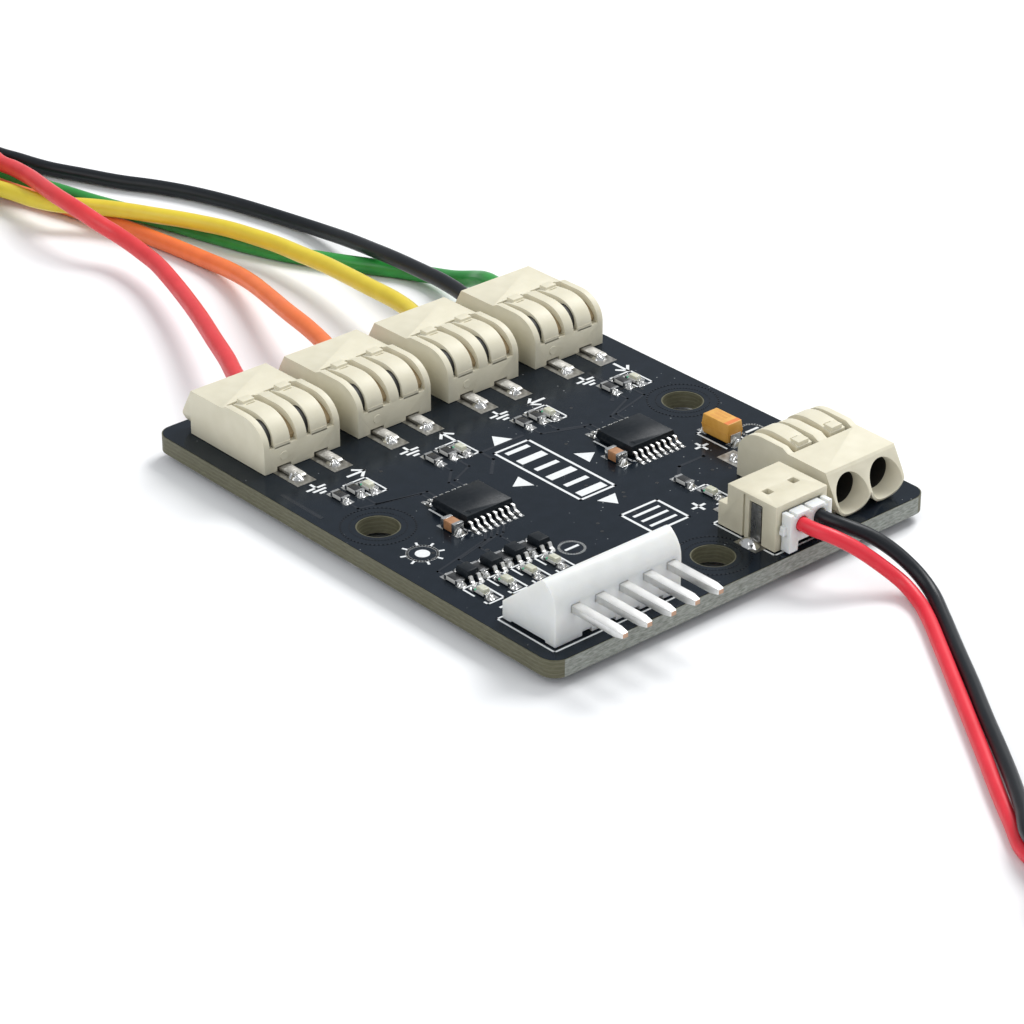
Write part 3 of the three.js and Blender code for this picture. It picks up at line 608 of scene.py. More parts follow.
def make_leads():
    plug = make_harness_plug()
    order = ["yellow", "orange", "red", "green", "black"]
    for name, route in HARNESS_ROUTES.items():
        fan = (order.index(name) - 2) * PIN_PITCH
        line = strand_line(HARNESS, route, BUNDLE_ANGLES[name], fan, 8.0)
        radius = BLACK_R if name == "black" else HARNESS_R
        lead_piece(f"harness_lead_{name}", line, radius, WIRES[name],
                   [f"harness_wire_{name}", "harness_coil", "harness_tail"])
    for name, route in POWER_ROUTES.items():
        fan = -1.0 if name == "red" else 1.0
        line = strand_line(POWER, route, POWER_ANGLES[name], fan, 7.0)
        tip = make_bare_end(f"power_tip_{name}", line[-1], (line[-1] - line[-3]).normalized())
        lead_piece(f"power_lead_{name}", line, POWER_R, POWER_LOOKS[name],
                   [f"power_wire_{name}", "power_coil", "power_tail"])


make_leads()


# ---- circuit board ----
def board_outline(inset):
    x, y, r = BOARD_X / 2 - inset, BOARD_Y / 2 - inset, BOARD_CORNER
    points = []
    for cx, cy, start in ((x - r, -y + r, -90), (x - r, y - r, 0), (-x + r, y - r, 90), (-x + r, -y + r, 180)):
        for i in range(9):
            angle = math.radians(start + 90 * i / 8)
            points.append((cx + r * math.cos(angle), cy + r * math.sin(angle)))
    return points


def drilled(inset, low, high):
    """A plate of the board's outline with its screw holes and the header's leg holes."""
    def drills(bm):
        for x, y in HOLES:
            add_prism(bm, circle(HOLE_R + inset * 1.6, x, y, 56), low - 1, high + 1, "z")
        for x in PIN_XS:
            add_prism(bm, circle(0.55, x, PIN_LEG_Y, 20), low - 1, high + 1, "z")

    return cut(prism(board_outline(inset), low, high, "z"), drills)


def make_board():
    core = drilled(0.0, -BOARD_T + MASK_T, -MASK_T)
    front = -BOARD_Y / 2 + 0.02
    core.materials.append(ROUTED)
    core.materials.append(SNAPPED)
    for face in core.polygons:
        face.material_index = 1 if face.center.y < front and abs(face.normal.z) < 0.5 else 0
    piece("board_core", core, [ROUTED, SNAPPED], replaces="circuit_board")
    piece("board_mask_top", drilled(0.07, -MASK_T - 0.001, 0.0), MASK)
    piece("board_mask_under", drilled(0.07, -BOARD_T, -BOARD_T + MASK_T + 0.001), MASK)


def add_stroke(bm, points, width, band):
    """A line of square ends along points, each segment a little slab between the band's two heights."""
    for (x0, y0), (x1, y1) in zip(points, points[1:]):
        length = math.hypot(x1 - x0, y1 - y0)
        ax, ay = (x1 - x0) / length * width / 2, (y1 - y0) / length * width / 2
        add_prism(bm, [(x0 - ax - ay, y0 - ay + ax), (x0 - ax + ay, y0 - ay - ax), (x1 + ax + ay, y1 + ay - ax),
                       (x1 + ax - ay, y1 + ay + ax)], *band, "z")


def printed(name, lines, band):
    """A mesh of many lines, each given as points and a width; no width means a filled outline."""
    def step(bm):
        for points, width in lines:
            if width:
                add_stroke(bm, points, width, band)
            else:
                add_prism(bm, points, *band, "z")

    return built(name, step)


def unit(degrees):
    return math.cos(math.radians(degrees)), math.sin(math.radians(degrees))


def ring(x, y, r, steps):
    return [(x + r * c, y + r * s) for c, s in (unit(360 * i / steps) for i in range(steps + 1))]


def frame_line(x0, x1, y0, y1):
    return [(x0, y0), (x1, y0), (x1, y1), (x0, y1), (x0, y0)]


def make_copper():
    """Traces, pour edges and vias that show faintly through the mask."""
    lines = []
    for i, x in enumerate(BLOCK_XS):
        end = CHIPS["chip_left" if i < 2 else "chip_right"][0] + (i % 2 - 0.5) * 3.0
        for k, shift in enumerate((-1.7, -0.1)):
            lines.append(([(x + shift, 4.8), (x + shift, 3.4 - 0.4 * k), (end + k * 0.65, 1.9),
                           (end + k * 0.65, 0.7)], 0.22))
    for i in range(4):
        x = -18.15 + PIN_PITCH * i
        lines += [([(x, -9.8), (x, -8.8 + 0.35 * i), (-12.0 + 0.65 * i, -7.4), (-11.0 + 0.65 * i, -6.4)], 0.2),
                  ([(x + 0.3, -16.2), (x + 0.9, -17.2)], 0.2)]
    lines += [([(-4.2, 0.8), (-2.4, 2.6), (-2.4, 4.2), (2.2, 4.2)], 0.3),
              ([(12.4, 4.0), (14.4, 6.0), (14.4, 9.2)], 0.3),
              ([(12.8, -7.0), (11.2, -8.6), (8.4, -8.6), (7.0, -10.0)], 0.3), ([(-19.6, 4.2), (-19.6, 9.2)], 0.4)]
    lines += [(ring(x, y, r, 56), width) for x, y in HOLES for r, width in ((2.35, 0.1), (3.1, 0.14))]
    piece("board_traces", printed("traces", lines, COPPER_BAND), TRACE)

    rng = random.Random(4)
    vias = [(rng.uniform(-19, 19), rng.uniform(-16.5, 9)) for _ in range(30)]
    vias = [(x, y) for x, y in vias if all(math.hypot(x - a, y - b) >= 3.4 for a, b in HOLES)]
    piece("board_vias", printed("vias", [(circle(0.16, x, y, 14), 0) for x, y in vias], (COPPER_BAND[0], 0.006)),
          VIA)


def make_legend():
    """White printed lines; letters and marks are left out, with plain symbols in their places."""
    thin = 0.17
    ink = [([(x - 0.15, 7.2), (x + 2.15, 7.2), (x + 2.15, 4.35), (x + 0.5, 4.35), (x + 0.5, 5.0)], thin)
           for x in BLOCK_XS]
    ink += [([(x, -13.6), (x, -12.2), (x + 1.65, -12.2), (x + 1.65, -15.3), (x, -15.3), (x, -14.9)], thin)
            for x in (-18.5 + PIN_PITCH * k for k in range(4))]
    ink += [([(6.2, -12.3), (7.9, -12.3), (7.9, -15.4), (6.2, -15.4)], thin),
            (frame_line(-19.45, -5.6, -17.45, -24.1), thin), (frame_line(3.7, 9.9, -17.5, -24.55), thin)]
    ink += [([(x - 2.68, -0.6), (x - 2.68, -5.3), (x - 2.4, -5.55), (x - 2.0, -5.55)], thin)
            for x, y in CHIPS.values()]
    ink.append(([(13.6, -8.9), (13.6, -5.3), (16.0, -5.3), (16.0, -8.9)], thin))
    # an arrow and a ground sign by each terminal of the row
    for left, turn in zip(BLOCK_XS, (0, 90, 180, 270)):
        x, y = left + 2.0, 8.2
        c, s = unit(turn)
        ink += [([(x + a * c - b * s, y + a * s + b * c) for a, b in line], 0.27)
                for line in ([(-0.85, 0), (0.8, 0)], [(0.15, 0.65), (0.85, 0), (0.15, -0.65)])]
        x, y = left - 2.1, 8.25
        ink += [([(x - half, y + drop), (x + half, y + drop)], 0.25)
                for half, drop in ((0.85, 0.15), (0.55, -0.32), (0.2, -0.79))]
        ink.append(([(x, y + 0.8), (x, y + 0.15)], 0.25))
    # plus signs, ringed minus signs and a dash under each indicator
    for x, y in ((12.3, -7.24), (4.8, -14.67)):
        ink += [([(x - 0.6, y), (x + 0.6, y)], 0.26), ([(x, y - 0.6), (x, y + 0.6)], 0.26)]
    for x, y in ((17.6, -7.9), (-7.6, -12.94)):
        ink += [([(x - 0.6, y), (x + 0.6, y)], 0.26), (ring(x, y, 1.05, 28), 0.18)]
    ink += [([(x - 0.35, -16.3), (x + 0.35, -16.3)], 0.24) for x in (-17.7 + PIN_PITCH * i for i in range(4))]
    # a ladder with an arrow tip on each side
    cx, cy = 0.2, -2.1
    for angle, reach in ((90, 7.9), (0, 4.6), (180, 4.6), (270, 7.9)):
        c, s = unit(angle)
        x, y = cx + (reach - 1.5) * c, cy + (reach - 1.5) * s
        ink.append(([(cx + reach * c, cy + reach * s), (x - 1.0 * s, y + 1.0 * c), (x + 1.0 * s, y - 1.0 * c)], 0))
    ink += [([(cx + side * 1.9, cy - 5.4), (cx + side * 1.9, cy + 5.4)], 0.24) for side in (-1, 1)]
    ink += [([(cx - 1.0, y), (cx + 1.0, y)], width) for y, width in
            ((cy - 4.6 + 1.84 * i, 0.5 if i % 2 else 0.85) for i in range(6))]
    ink += [([(cx - 1.9, cy + side * 5.4), (cx + 1.9, cy + side * 5.4)], 0.24) for side in (-1, 1)]
    # a ringed dot with rays, and a ruled square
    x, y = -17.2, -5.8
    ink += [(circle(0.62, x, y, 28), 0), (ring(x, y, 1.25, 32), 0.22)]
    ink += [([(x + 1.3 * c, y + 1.3 * s), (x + 1.75 * c, y + 1.75 * s)], 0.2)
            for c, s in (unit(45 * i + 22) for i in range(8))]
    ink.append((frame_line(-1.0, 3.0, -11.6, -15.4), 0.24))
    ink += [([(-0.3, -12.5 - i), (2.3, -12.5 - i)], 0.3) for i in range(3)]
    piece("board_legend", printed("legend", ink, INK_BAND), SILK)


make_board()
make_copper()
make_legend()


# ---- push-in terminals: x across, y from the back face to the wire entries, z up from the board ----
CORE = ([(0.0, 0.05), (10.2, 0.05), (10.2, 3.7), (10.13, 3.92), (9.9, TOP_Z), (5.7, TOP_Z + 0.05),
         (5.1, TOP_Z + 0.36), (2.8, TOP_Z + 0.4)]
        + bezier((2.8, TOP_Z + 0.4), (1.2, TOP_Z + 0.4), (0.05, 3.6), (0, 2.3))[1:])
LEVER = (bezier((0.02, 2.3), (0.04, 3.75), (1.15, 4.62), (2.8, 4.62))
         + [(3.5, 4.59), (4.2, 4.52), (4.9, 4.4), (LEVER_END, 4.25), (LEVER_END, 3.6), (4.8, 3.72), (4.1, 3.82),
            (3.5, 3.87)]
         + bezier((2.8, 3.88), (1.55, 3.88), (0.78, 3.2), (0.7, 2.3)))
POCKET = [(-1, 2.25), (0.95, 2.25), (0.95, 1.45), (5.85, 1.45), (5.85, 6), (-1, 6)]
SLOT_CURVE = bezier((0.02, 2.42), (0.06, 3.75), (1.15, 4.62), (2.8, 4.62))
LEDGE = ([(0.9, 1.5)] + [(y + 0.16, z - 0.74) for y, z in SLOT_CURVE[4:]]
         + [(4.2, 3.9), (5.5, 3.62), (5.86, 3.6), (5.86, 1.44)])


def at_poles(add):
    """A step that adds the same thing at both poles of a terminal."""
    def step(bm):
        for x in POLES:
            add(bm, x)

    return step


def make_housing():
    half = BLOCK_W / 2
    lip = ([(8, 0.05), (LIP_Y - 0.35, 0.05)]
           + [((1 - t) ** 2 * (LIP_Y - 0.35) + (2 * t - t * t) * LIP_Y,
               (1 - t) ** 2 * 0.05 + 2 * t * (1 - t) * 0.5 + t * t * 1.55) for t in (0.25, 0.5, 0.75, 1.0)]
           + [(10.0, TOP_Z), (8, TOP_Z)])
    front = built("upper", lambda bm: add_box(bm, -half - 0.2, half + 0.2, 7, 13, ENTRY_Z, 6))
    for x in POLES:
        front = combine(front, built("round", lambda bm: add_cone(bm, 2.04, 2.04, 7, 13, x, ENTRY_Z, 48)), "UNION")
    body = combine(prism(CORE, -half, half),
                   combine(prism(lip, -half + 0.001, half - 0.001), front, "INTERSECT"), "UNION")

    def grooves(bm, x):
        add_box(bm, x - 0.75, x + 0.75, -1, 7.7, -1, 0.45)
        add_box(bm, x - 0.75, x + 0.75, 7.0, 7.7, 0.4, 1.3)

    body = cut(body, at_poles(lambda bm, x: add_prism(bm, POCKET, x - POCKET_HALF, x + POCKET_HALF)),
               at_poles(lambda bm, x: add_cone(bm, BORE_R, MOUTH_R, 9.85, 11.75, x, ENTRY_Z, 48)),
               at_poles(lambda bm, x: add_cone(bm, BORE_R, BORE_R, 6.4, 9.9, x, ENTRY_Z, 48)),
               at_poles(grooves))
    body = softened(body, 0.1, 2, 32)
    body.materials.append(IVORY)
    body.materials.append(SHADE)
    # Faces deep in the wire bores take the near-black material: painted shade where the bores are dark with depth.
    for face in body.polygons:
        x, y, z = face.center
        painted_shade = min(math.hypot(x - pole, z - ENTRY_Z) for pole in POLES) < BORE_R + 0.08
        face.material_index = 1 if painted_shade and 6.2 < y < 9.83 else 0

    def hinges(bm, x):
        add_box(bm, x - POCKET_HALF - 0.02, x + POCKET_HALF + 0.02, 0.32, 0.95, 1.5, 2.26)
        add_box(bm, x + LEVER_LEFT + 0.04, x + LEVER_RIGHT - 0.04, 0.0, 0.3, 2.15, 2.52)

    bm = bmesh.new()
    bm.from_mesh(body)
    bm.from_mesh(built("hinges", at_poles(hinges)))
    rng = random.Random(9)
    gate = [(a + rng.uniform(-0.03, 0.03), b + rng.uniform(-0.03, 0.03))
            for a, b in circle(0.42, POLES[0], 1.27, 22)]
    add_prism(bm, gate, 0.02, -0.06, "y", 0.9)
    bmesh.ops.recalc_face_normals(bm, faces=bm.faces)
    bm.to_mesh(body)
    bm.free()
    return body


def make_slots():
    """A near-black piece painted as the shade in the open space on one side of each lever, seen as a black crescent,
    and the ledge on its other side, which is coloured as painted shade too.
    """
    top = []
    for i, (y, z) in enumerate(SLOT_CURVE[2:]):
        t = i / (len(SLOT_CURVE) - 3)
        depth = 0.2 + 0.4 * (1 - math.sin(math.pi * min(t * 1.1, 1))) ** 2
        top.append((y + depth * 0.6 * (1 - t), z - depth))
    outline = [(1.0, 1.5)] + top + [(4.3, 3.95), (5.6, 3.5), (5.6, 1.5)]
    return (built("painted_slot_shade", at_poles(lambda bm, x: add_prism(bm, outline, x - POCKET_HALF + 0.03,
                                                           x + LEVER_LEFT - 0.02))),
            built("ledges", at_poles(lambda bm, x: add_prism(bm, LEDGE, x + LEVER_RIGHT + 0.04,
                                                             x + POCKET_HALF + 0.02))))


def make_lever():
    nub = [(4.55, 3.95), (LEVER_END - 0.02, 3.95), (LEVER_END - 0.02, TOP_Z + 0.53), (4.6, TOP_Z + 0.56)]
    dish = [(4.3, 4.3), (4.48, 4.3), (4.48, 5.0), (4.2, 5.0)]
    body = combine(prism(LEVER, LEVER_LEFT, LEVER_RIGHT), prism(nub, -0.62, 0.6), "UNION")
    return softened(combine(body, prism(dish, -0.45, 0.43), "DIFFERENCE"), 0.17, 3, 30)


def add_blob(bm, x, y, rx, ry, height, rng, z=0.0):
    """A fillet of solder: a low dome with an uneven rim and a rippled skin."""
    sides, rings = 26, 6
    lumps = [rng.uniform(0.86, 1.08) for _ in range(sides)]
    layers = []
    for k in range(rings):
        t = k / rings
        layer = []
        for i in range(sides):
            angle = 2 * math.pi * i / sides
            reach = (1 - t) * (lumps[i] * (1 - t) + t)
            layer.append(bm.verts.new((x + rx * reach * math.cos(angle), y + ry * reach * math.sin(angle),
                                       z + height * (1 - (1 - t) ** 2) + (rng.uniform(-0.02, 0.02) if k else 0))))
        layers.append(layer)
    top = bm.verts.new((x, y, z + height))
    loft(bm, layers, caps=False)
    for i in range(sides):
        bm.faces.new((layers[-1][i], layers[-1][i - 1], top))


def make_contact():
    strip = [(-2.3, 0.08), (7.45, 0.08), (7.45, 1.05), (7.25, 1.05), (7.25, 0.33), (-2.0, 0.33), (-2.3, 0.2)]
    return softened(prism(strip, -0.58, 0.58), 0.05, 2, 30)


def make_terminals():
    housing, lever, contact = make_housing(), make_lever(), make_contact()
    painted_slot_shade, ledges = make_slots()
    for mesh in (housing, lever, contact, painted_slot_shade, ledges):
        mesh.transform(Matrix.Scale(MM, 4))
    spots = [(x, BLOCK_BACK_Y, 0.0) for x in BLOCK_XS] + [(FIFTH_X, -BLOCK_BACK_Y, math.pi)]
    rng = random.Random(21)
    for number, (x, y, turn) in enumerate(spots, 1):
        name = f"terminal_{number}"
        place = on_board(x, y)
        piece(f"{name}_moulding", housing, IVORY, place, turn, replaces=f"{name}_housing", scaled=True)
        # The ledges take the darker tan copy of the ivory: painted shade in the slots.
        piece(f"{name}_ledges", ledges, IVORY_PAINTED_SHADE, place, turn, scaled=True)
        # A near-black piece in each lever's slot: painted shade.
        piece(f"{name}_inside", painted_slot_shade, SHADE, place, turn, scaled=True)
        side = -1 if turn else 1
        shift = -0.2 * side
        for letter, pole in zip("ab", POLES):
            place = on_board(x + side * pole, y)
            piece(f"{name}_release_{letter}_lever", lever, IVORY, place, turn, f"{name}_lever_{letter}",
                  f"{name}_lever_{letter}", scaled=True)
            piece(f"{name}_strip_{letter}", contact, PAD_TIN, place, turn, replaces=f"{name}_contact_{letter}",
                  scaled=True)

            def pad(bm):
                add_box(bm, -0.98 + shift, 0.98 + shift, -3.3, 2.2, 0.0, PAD_T)

            def solder(bm):
                add_blob(bm, shift, -1.9, 0.62, 0.75, 0.36, rng, 0.03)
                for _ in range(3):
                    add_blob(bm, shift + rng.uniform(-0.4, 0.4), rng.uniform(-2.4, -1.5), 0.3, 0.3, 0.4, rng, 0.02)

            piece(f"{name}_pad_{letter}", built("pad", pad), PAD_TIN, place, turn)
            piece(f"{name}_solder_{letter}", built("joint", solder), SOLDER, place, turn)


make_terminals()


# ---- right-angle pin header ----
def make_header():
    side = [(-23.75, 0.05), (-17.65, 0.05), (-17.65, 1.6), (-22.0, 5.28), (-22.2, 5.35), (-22.5, 5.3),
            (-22.9, 4.98), (-23.25, 4.6), (-23.55, 4.1), (-23.7, 3.6), (-23.75, 3.0)]
    tip = -29.3
    wide, half = 0.45, 0.32
    under = -BOARD_T

    def rooms(bm):
        for x in PIN_XS:
            add_box(bm, x - 0.46, x + 0.46, -30, PIN_LEG_Y - 0.14, PIN_Z - 0.33, PIN_Z + 0.33)
            add_block(bm, x, PIN_LEG_Y, 0.36, 0.36, -4, PIN_Z - 0.15)

    def notches(bm):
        for x in PIN_XS:
            add_box(bm, x + 0.72, x + 1.72, -24.5, -22.9, -0.5, 0.42)
        add_box(bm, -20, -5, -22.6, -18.6, -0.5, 0.22)

    piece("pin_strip_moulding", softened(cut(prism(side, -19.1, -5.9), rooms, notches), 0.14, 3, 32), NYLON,
          replaces="header_body")

    def pin(bm):
        sections = [(tip, 0.27, 0.2), (tip + 0.1, 0.31, 0.23), (tip + 0.85, wide, half - 0.01),
                    (PIN_LEG_Y - 0.16, wide, half)]
        loft(bm, [[bm.verts.new((u, y, PIN_Z + v)) for u, v in ((-a, -b), (a, -b), (a, b), (-a, b))]
                  for y, a, b in sections])
        add_block(bm, 0.0, PIN_LEG_Y, half, half, -2.45, PIN_Z - 0.2)

    def fillet(bm):
        layers = [(0.95, under - 0.02), (0.72, under - 0.12), (0.52, under - 0.36), (0.42, under - 0.7)]
        loft(bm, [[bm.verts.new((a, PIN_LEG_Y + b, z)) for a, b in circle(r, 0, 0, 28)] for r, z in layers])

    def end(bm):
        add_box(bm, -0.25, 0.25, tip - 0.004, tip + 0.05, PIN_Z - 0.18, PIN_Z + 0.18)

    for number, x in enumerate(PIN_XS, 1):
        place = on_board(x, 0)
        piece(f"strip_pin_{number}", softened(built("pin", pin), 0.05, 2, 25, False), TIN, place,
              replaces=f"header_pin_{number}")
        piece(f"strip_pin_tip_{number}", built("tip", end), COPPER, place)
        ring = prism(circle(1.0, 0, PIN_LEG_Y, 28), under - 0.025, under + 0.01, "z")
        piece(f"strip_pin_ring_{number}", ring, PAD_TIN, place)
        piece(f"strip_pin_joint_{number}", built("fillet", fillet), SOLDER, place)


make_header()


# ---- lead socket, its pins and tabs, and the lead's plug ----
def make_socket():
    half, front, back, high = 2.9, -24.3, -18.8, 4.15
    place = on_board(SOCKET_X, 0)
    shell = [(front, 0.05), (back + 1.0, 0.05), (back + 1.0, 2.2), (back, 2.2), (back, high), (front, high)]

    def room(bm):
        add_box(bm, -half + 0.75, half - 0.75, front - 1, back - 1.0, 0.55, 3.5)

    def mouth(bm):
        add_box(bm, -1.5, 1.5, front - 1, front + 1.0, -1, 1)

    def details(bm):
        for s in (-1, 1):
            x0 = -half - 1 if s < 0 else half - 0.35
            add_box(bm, x0, x0 + 1.35, -22.75, -21.3, -1, 3.6)
            add_box(bm, s * half - 0.22, s * half + 0.22, -20.78, -20.62, -1, 3.95)
            add_box(bm, s * 1.45 - 0.36, s * 1.45 + 0.36, -22.25, -21.5, 3, 6)
            add_box(bm, s - 0.29, s + 0.29, back - 1.6, back + 0.74, 2.21, 2.79)
            add_box(bm, s - 0.29, s + 0.29, back - 0.04, back + 2.3, -1, 0.39)
            add_box(bm, s - 0.29, s + 0.29, back - 0.04, back + 0.74, 0.04, 2.5)

    piece("socket_moulding", softened(cut(prism(shell, -half, half), room, mouth, details), 0.09, 2, 32),
          SOCKET_IVORY, place, replaces="lead_socket")

    leg = [(back, 0.09), (back + 2.3, 0.09), (back + 2.3, 0.35), (back + 0.7, 0.35), (back + 0.7, 2.6), (back, 2.6)]
    rng = random.Random(31)
    for s, word in ((-1, "left"), (1, "right")):
        bar = built("pin", lambda bm: add_box(bm, -0.25, 0.25, -22.6, back + 0.7, 2.25, 2.75))
        piece(f"socket_post_{word}", softened(combine(bar, prism(leg, -0.25, 0.25), "UNION"), 0.04, 2, 30), TIN,
              on_board(SOCKET_X + s, 0), replaces=f"socket_pin_{word}")
        tab = [(s * (half - 0.27), 0.08), (s * (half + 0.9), 0.08), (s * (half + 0.9), 0.33),
               (s * (half - 0.07), 0.36), (s * (half - 0.07), 3.5), (s * (half - 0.27), 3.5)]
        piece(f"socket_clip_{word}", softened(prism(tab, -22.6, -21.45, "y"), 0.05, 2, 30), STEEL, place,
              replaces=f"socket_tab_{word}")

        def joints(bm):
            add_blob(bm, s * (half + 0.45), -22.0, 0.75, 1.0, 0.62, rng, 0.03)
            add_blob(bm, s, back + 1.8, 0.5, 0.75, 0.42, rng, 0.03)

        def pads(bm):
            add_box(bm, s * (half + 0.35) - 0.8, s * (half + 0.35) + 0.8, -23.3, -20.8, 0.0, PAD_T)
            add_box(bm, s - 0.5, s + 0.5, back + 0.2, back + 3.0, 0.0, PAD_T)

        piece(f"socket_joint_{word}", built("joint", joints), SOLDER, place)
        piece(f"socket_pad_{word}", built("pad", pads), PAD_TIN, place)

    face = [(-2.35, 3.55), (-2.35, 1.9), (-2.3, 1.0), (-2.35, 0.2), (-1.4, 0.22), (-1.35, 1.05), (1.35, 1.05),
            (1.4, 0.22), (2.35, 0.2), (2.3, 1.0), (2.35, 1.9), (2.35, 3.55)]
    ears = [(-2.72, 1.75), (-2.6, 2.5), (2.6, 2.5), (2.72, 1.75)]

    def ribs(bm):
        for x in (-1.75, 0.0, 1.75):
            add_box(bm, x - 0.16, x + 0.16, front - 1.12, front - 0.1, 3.3, 4.2)

    def plug_holes(bm):
        for s in (-1, 1):
            add_box(bm, s - 0.35, s + 0.35, -23.0, -19, 2.15, 2.85)
            add_cone(bm, 0.68, 0.68, front - 2, -22.8, s, 2.5, 24)

    plug = built("plug", lambda bm: add_box(bm, -2.0, 2.0, front - 0.2, -20.1, 0.75, 3.3))
    plug = combine(plug, prism(face, front - 1.1, front - 0.12, "y"), "UNION")
    plug = combine(plug, prism(ears, front - 0.72, front - 0.2, "y"), "UNION")
    piece("power_plug_moulding", softened(cut(plug, ribs, plug_holes), 0.09, 2, 32), NYLON, place,
          replaces="lead_plug")


make_socket()


# ---- chips and the small parts ----
def add_drafted(bm, half_x, half_y, z0, zm, z1, inset, x=0.0, y=0.0):
    """A moulded block, widest at zm, whose sides lean in above and below."""
    loft(bm, [[bm.verts.new(p) for p in (
        (x - half_x + d, y - half_y + d, z), (x + half_x - d, y - half_y + d, z), (x + half_x - d, y + half_y - d, z),
        (x - half_x + d, y + half_y - d, z))] for z, d in ((z0, inset), (zm, 0.0), (z1, inset))])


def each(spots, add):
    """A step that adds the same thing at every spot."""
    def step(bm):
        for x, y in spots:
            add(bm, x, y)

    return step


def make_chips():
    wing = [(1.95, 0.5), (2.38, 0.5), (2.5, 0.44), (2.58, 0.2), (2.7, 0.08), (3.2, 0.08), (3.2, 0.22),
            (2.78, 0.24), (2.68, 0.34), (2.6, 0.58), (2.48, 0.64), (1.95, 0.64)]

    def dimple(bm):
        add_prism(bm, circle(0.3, -1.95, -1.6, 28), 0.99, 1.3, "z", 1.2)

    def leads(bm):
        for a in CHIP_LEAD_XS:
            add_prism(bm, wing, a - 0.12, a + 0.12)
            add_prism(bm, [(-b, c) for b, c in wing], a - 0.12, a + 0.12)

    def pads(bm):
        rng = random.Random(3)
        for a in CHIP_LEAD_XS:
            for s in (-1, 1):
                add_block(bm, a, s * 3.1, 0.19, 0.55, 0.0, 0.03)
                add_blob(bm, a, s * 3.3, 0.16, 0.3, 0.16, rng, 0.02)

    for name, (x, y) in CHIPS.items():
        place = on_board(x, y)
        body = cut(built("chip", lambda bm: add_drafted(bm, 2.5, 2.2, 0.15, 0.58, 1.05, 0.1)), dimple)
        piece(f"{name}_package", softened(body, 0.05, 2, 30, False), EPOXY, place, replaces=name)
        piece(f"{name}_legs", softened(built("legs", leads), 0.02, 1, 40), TIN, place)
        piece(f"{name}_pads", built("pads", pads), SOLDER, place)


def make_capacitors():
    place = on_board(14.8, -7.1)
    body = built("tantalum", lambda bm: add_drafted(bm, 0.9, 1.6, 0.2, 1.05, 1.95, 0.09))
    piece("tantalum_moulding", softened(body, 0.07, 2, 30, False), TANTALUM, place, replaces="tantalum_capacitor")

    def bar(bm):
        add_box(bm, -0.78, 0.78, -1.44, -0.98, 1.9, 1.958)

    def seam_and_print(bm):
        for a in (-0.45, 0.05, 0.5):
            add_box(bm, a - 0.14, a + 0.14, -0.5, 0.9, 1.9, 1.955)
        add_block(bm, 0.0, 0.0, 0.904, 1.604, 1.01, 1.06)

    def tabs(bm):
        for s in (-1, 1):
            add_block(bm, 0.0, s * 1.66, 0.58, 0.04, 0.1, 0.95)
            add_block(bm, 0.0, s * 1.35, 0.58, 0.35, 0.08, 0.2)

    def joints(bm):
        rng = random.Random(8)
        for s in (-1, 1):
            add_block(bm, 0.0, s * 1.75, 0.75, 0.55, 0.0, PAD_T)
            add_blob(bm, 0, s * 1.95, 0.62, 0.32, 0.5, rng, 0.02)

    for word, step, look in (("bar", bar, TANTALUM_BAR), ("print", seam_and_print, TANTALUM_PRINT),
                             ("tabs", tabs, TIN), ("joints", joints, SOLDER)):
        piece(f"tantalum_{word}", built(word, step), look, place)

    def caps(bm):
        rng = random.Random(12)
        for s in (-1, 1):
            add_block(bm, 0.0, s * 0.67, 0.5, 0.18, 0.08, 0.95)
            add_block(bm, 0.0, s * 0.95, 0.55, 0.4, 0.0, 0.03)
            add_blob(bm, 0, s * 1.0, 0.46, 0.3, 0.5, rng, 0.02)

    for word, place in {"left": on_board(-12.9, -4.4), "right": on_board(5.2, -4.3)}.items():
        body = softened(built("ceramic", lambda bm: add_block(bm, 0.0, 0.0, 0.48, 0.5, 0.1, 0.93)), 0.05)
        piece(f"ceramic_{word}_middle", body, CERAMIC, place, replaces=f"ceramic_capacitor_{word}")
        piece(f"ceramic_{word}_ends", softened(built("caps", caps), 0.03), SOLDER, place)


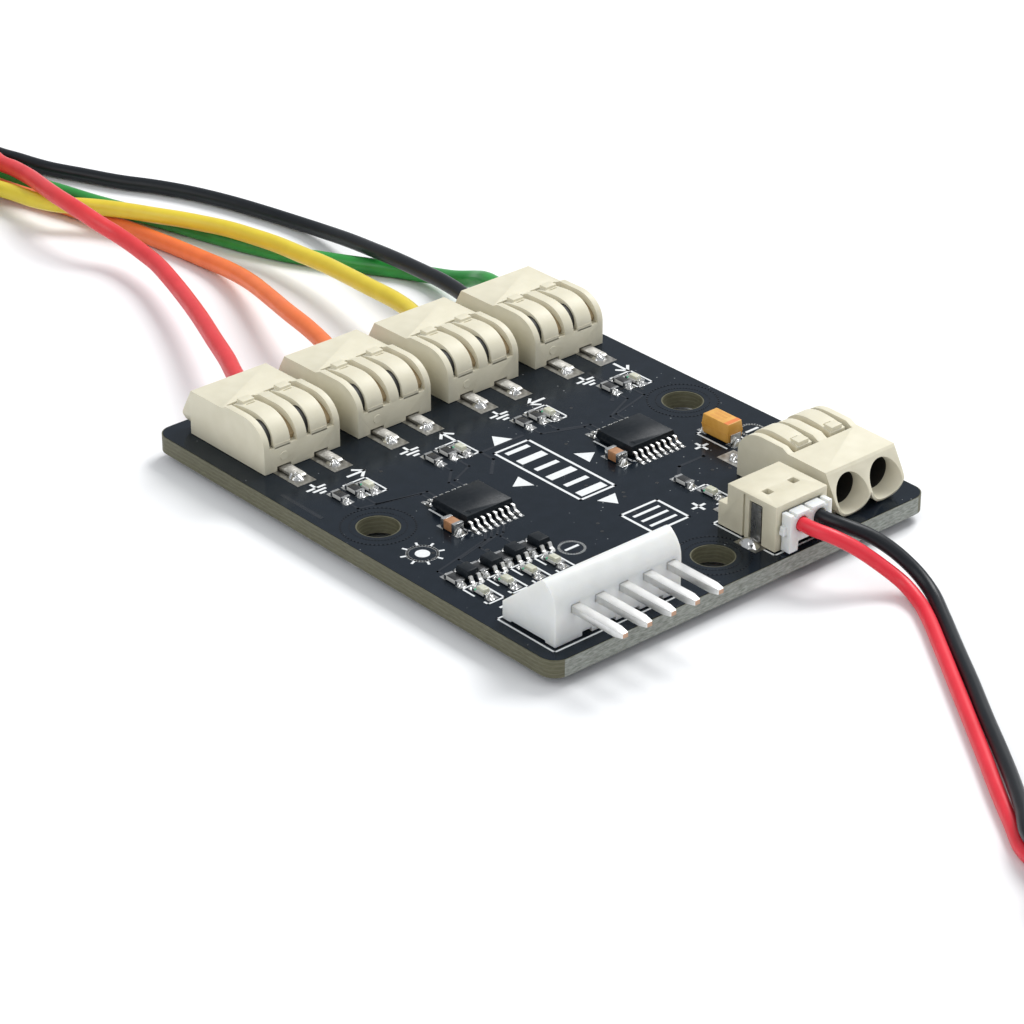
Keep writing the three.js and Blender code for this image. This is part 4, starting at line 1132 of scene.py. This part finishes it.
def make_small_parts():
    row = [PIN_PITCH * k for k in range(4)]
    resistors = [(cx + shift, y) for cx in BLOCK_XS for shift, y in ((-1.7, 5.7), (-0.1, 5.8))]
    resistors += [(-18.15 + x, -10.85) for x in row] + [(6.65, -11.0)]
    leds = [(cx + 1.15, 5.55) for cx in BLOCK_XS] + [(-17.7 + x, -13.75) for x in row] + [(7.05, -13.85)]
    drivers = [(-16.95 + x, -11.0) for x in row]
    foot = [(0.6, 0.45), (0.85, 0.45), (0.98, 0.08), (1.25, 0.08), (1.25, 0.2), (1.08, 0.22), (0.92, 0.58),
            (0.6, 0.58)]
    rng = random.Random(17)

    def block(half_x, half_y, low, high, shrink=1.0):
        return lambda bm, x, y: add_block(bm, x, y, half_x, half_y, low, high, shrink)

    def ends(half_x, half_y, height, cap):
        """Metal end caps, their pads and their solder."""
        def add(bm, x, y):
            for s in (-1, 1):
                middle, pad = y + s * (half_y - cap / 2), y + s * (half_y + 0.15)
                add_box(bm, x - half_x, x + half_x, middle - cap / 2, middle + cap / 2, 0.05, height)
                add_box(bm, x - half_x - 0.05, x + half_x + 0.05, pad - 0.35, pad + 0.35, 0.0, 0.03)
                add_blob(bm, x, y + s * (half_y + 0.12), half_x * 0.92, 0.3, height * 0.75, rng, 0.02)

        return add

    def polarity_mark(bm, x, y):
        add_box(bm, x - 0.43, x + 0.43, y + 0.4, y + 0.56, 0.2, 0.315)

    def package(bm, x, y):
        add_drafted(bm, 0.62, 0.75, 0.1, 0.55, 0.98, 0.08, x, y)

    def legs(bm, x, y):
        for a, side in ((x - 0.4, -1), (x + 0.4, -1), (x, 1)):
            add_prism(bm, [(y + side * b, c) for b, c in foot], a - 0.17, a + 0.17)
            add_blob(bm, a, y + side * 1.28, 0.24, 0.26, 0.2, rng, 0.01)

    for name, spots, add, look, width in (
            ("resistor_glaze", resistors, block(0.37, 0.52, 0.4, 0.47), CERAMIC_BLACK, 0.02),
            ("resistor_alumina", resistors, block(0.4, 0.6, 0.08, 0.42), ALUMINA, 0.03),
            ("resistor_ends", resistors, ends(0.41, 0.8, 0.46, 0.26), SOLDER, 0.0),
            ("led_lenses", leds, block(0.34, 0.5, 0.28, 0.6, 0.85), LENS, 0.06),
            ("led_bases", leds, block(0.42, 0.6, 0.08, 0.3), ALUMINA, 0.02),
            ("led_marks", leds, polarity_mark, LED_GREEN, 0.0),
            ("led_ends", leds, ends(0.42, 0.85, 0.33, 0.3), SOLDER, 0.0),
            ("driver_packages", drivers, package, EPOXY, 0.04), ("driver_legs", drivers, legs, TIN, 0.0)):
        mesh = built(name, each(spots, add))
        piece(name, softened(mesh, width, 2, 30, False) if width else mesh, look)


make_chips()
make_capacitors()
make_small_parts()


# ---- floor, light and background ----
def make_studio():
    floor = bpy.data.meshes.new("floor")
    size = 2.5
    floor.from_pydata([(-size, -size, 0), (size, -size, 0), (size, size, 0), (-size, size, 0)], [], [(0, 1, 2, 3)])
    paper = bpy.data.materials.new("paper")
    paper.use_nodes = True
    tree = paper.node_tree
    shader = tree.nodes["Principled BSDF"]
    noise = tree.nodes.new("ShaderNodeTexNoise")
    set_sockets(noise, {"Scale": 300})
    tone = map_range(tree, noise.outputs["Fac"], 0.3, 0.7, 0.0, 1.0)
    tree.links.new(mix_colors(tree, tone, (0.84, 0.845, 0.85), (0.855, 0.86, 0.865)), shader.inputs["Base Color"])
    set_sockets(shader, {"Roughness": 0.7, "Specular IOR Level": 0.2})
    floor.materials.append(paper)
    put("floor", floor)

    world = bpy.data.worlds.new("world")
    world.use_nodes = True
    set_sockets(world.node_tree.nodes["Background"], {"Color": (0.93, 0.96, 1.0, 1), "Strength": 0.54})
    bpy.context.scene.world = world
    centre = Vector((0, 0.01, 0.004))
    for name, place, size, power in (
            ("key", (0.34, 0.04, 0.42), 0.26, 2.6), ("fill", (-0.38, 0.02, 0.3), 0.35, 0.75),
            ("front", (0.12, -0.42, 0.3), 0.35, 0.5)):
        data = bpy.data.lights.new(name, "AREA")
        data.size = size
        data.energy = power
        lamp = put(name, data)
        lamp.location = place
        lamp.rotation_euler = (centre - Vector(place)).to_track_quat("-Z", "Y").to_euler()
    bpy.context.scene.view_settings.view_transform = "Standard"


make_studio()
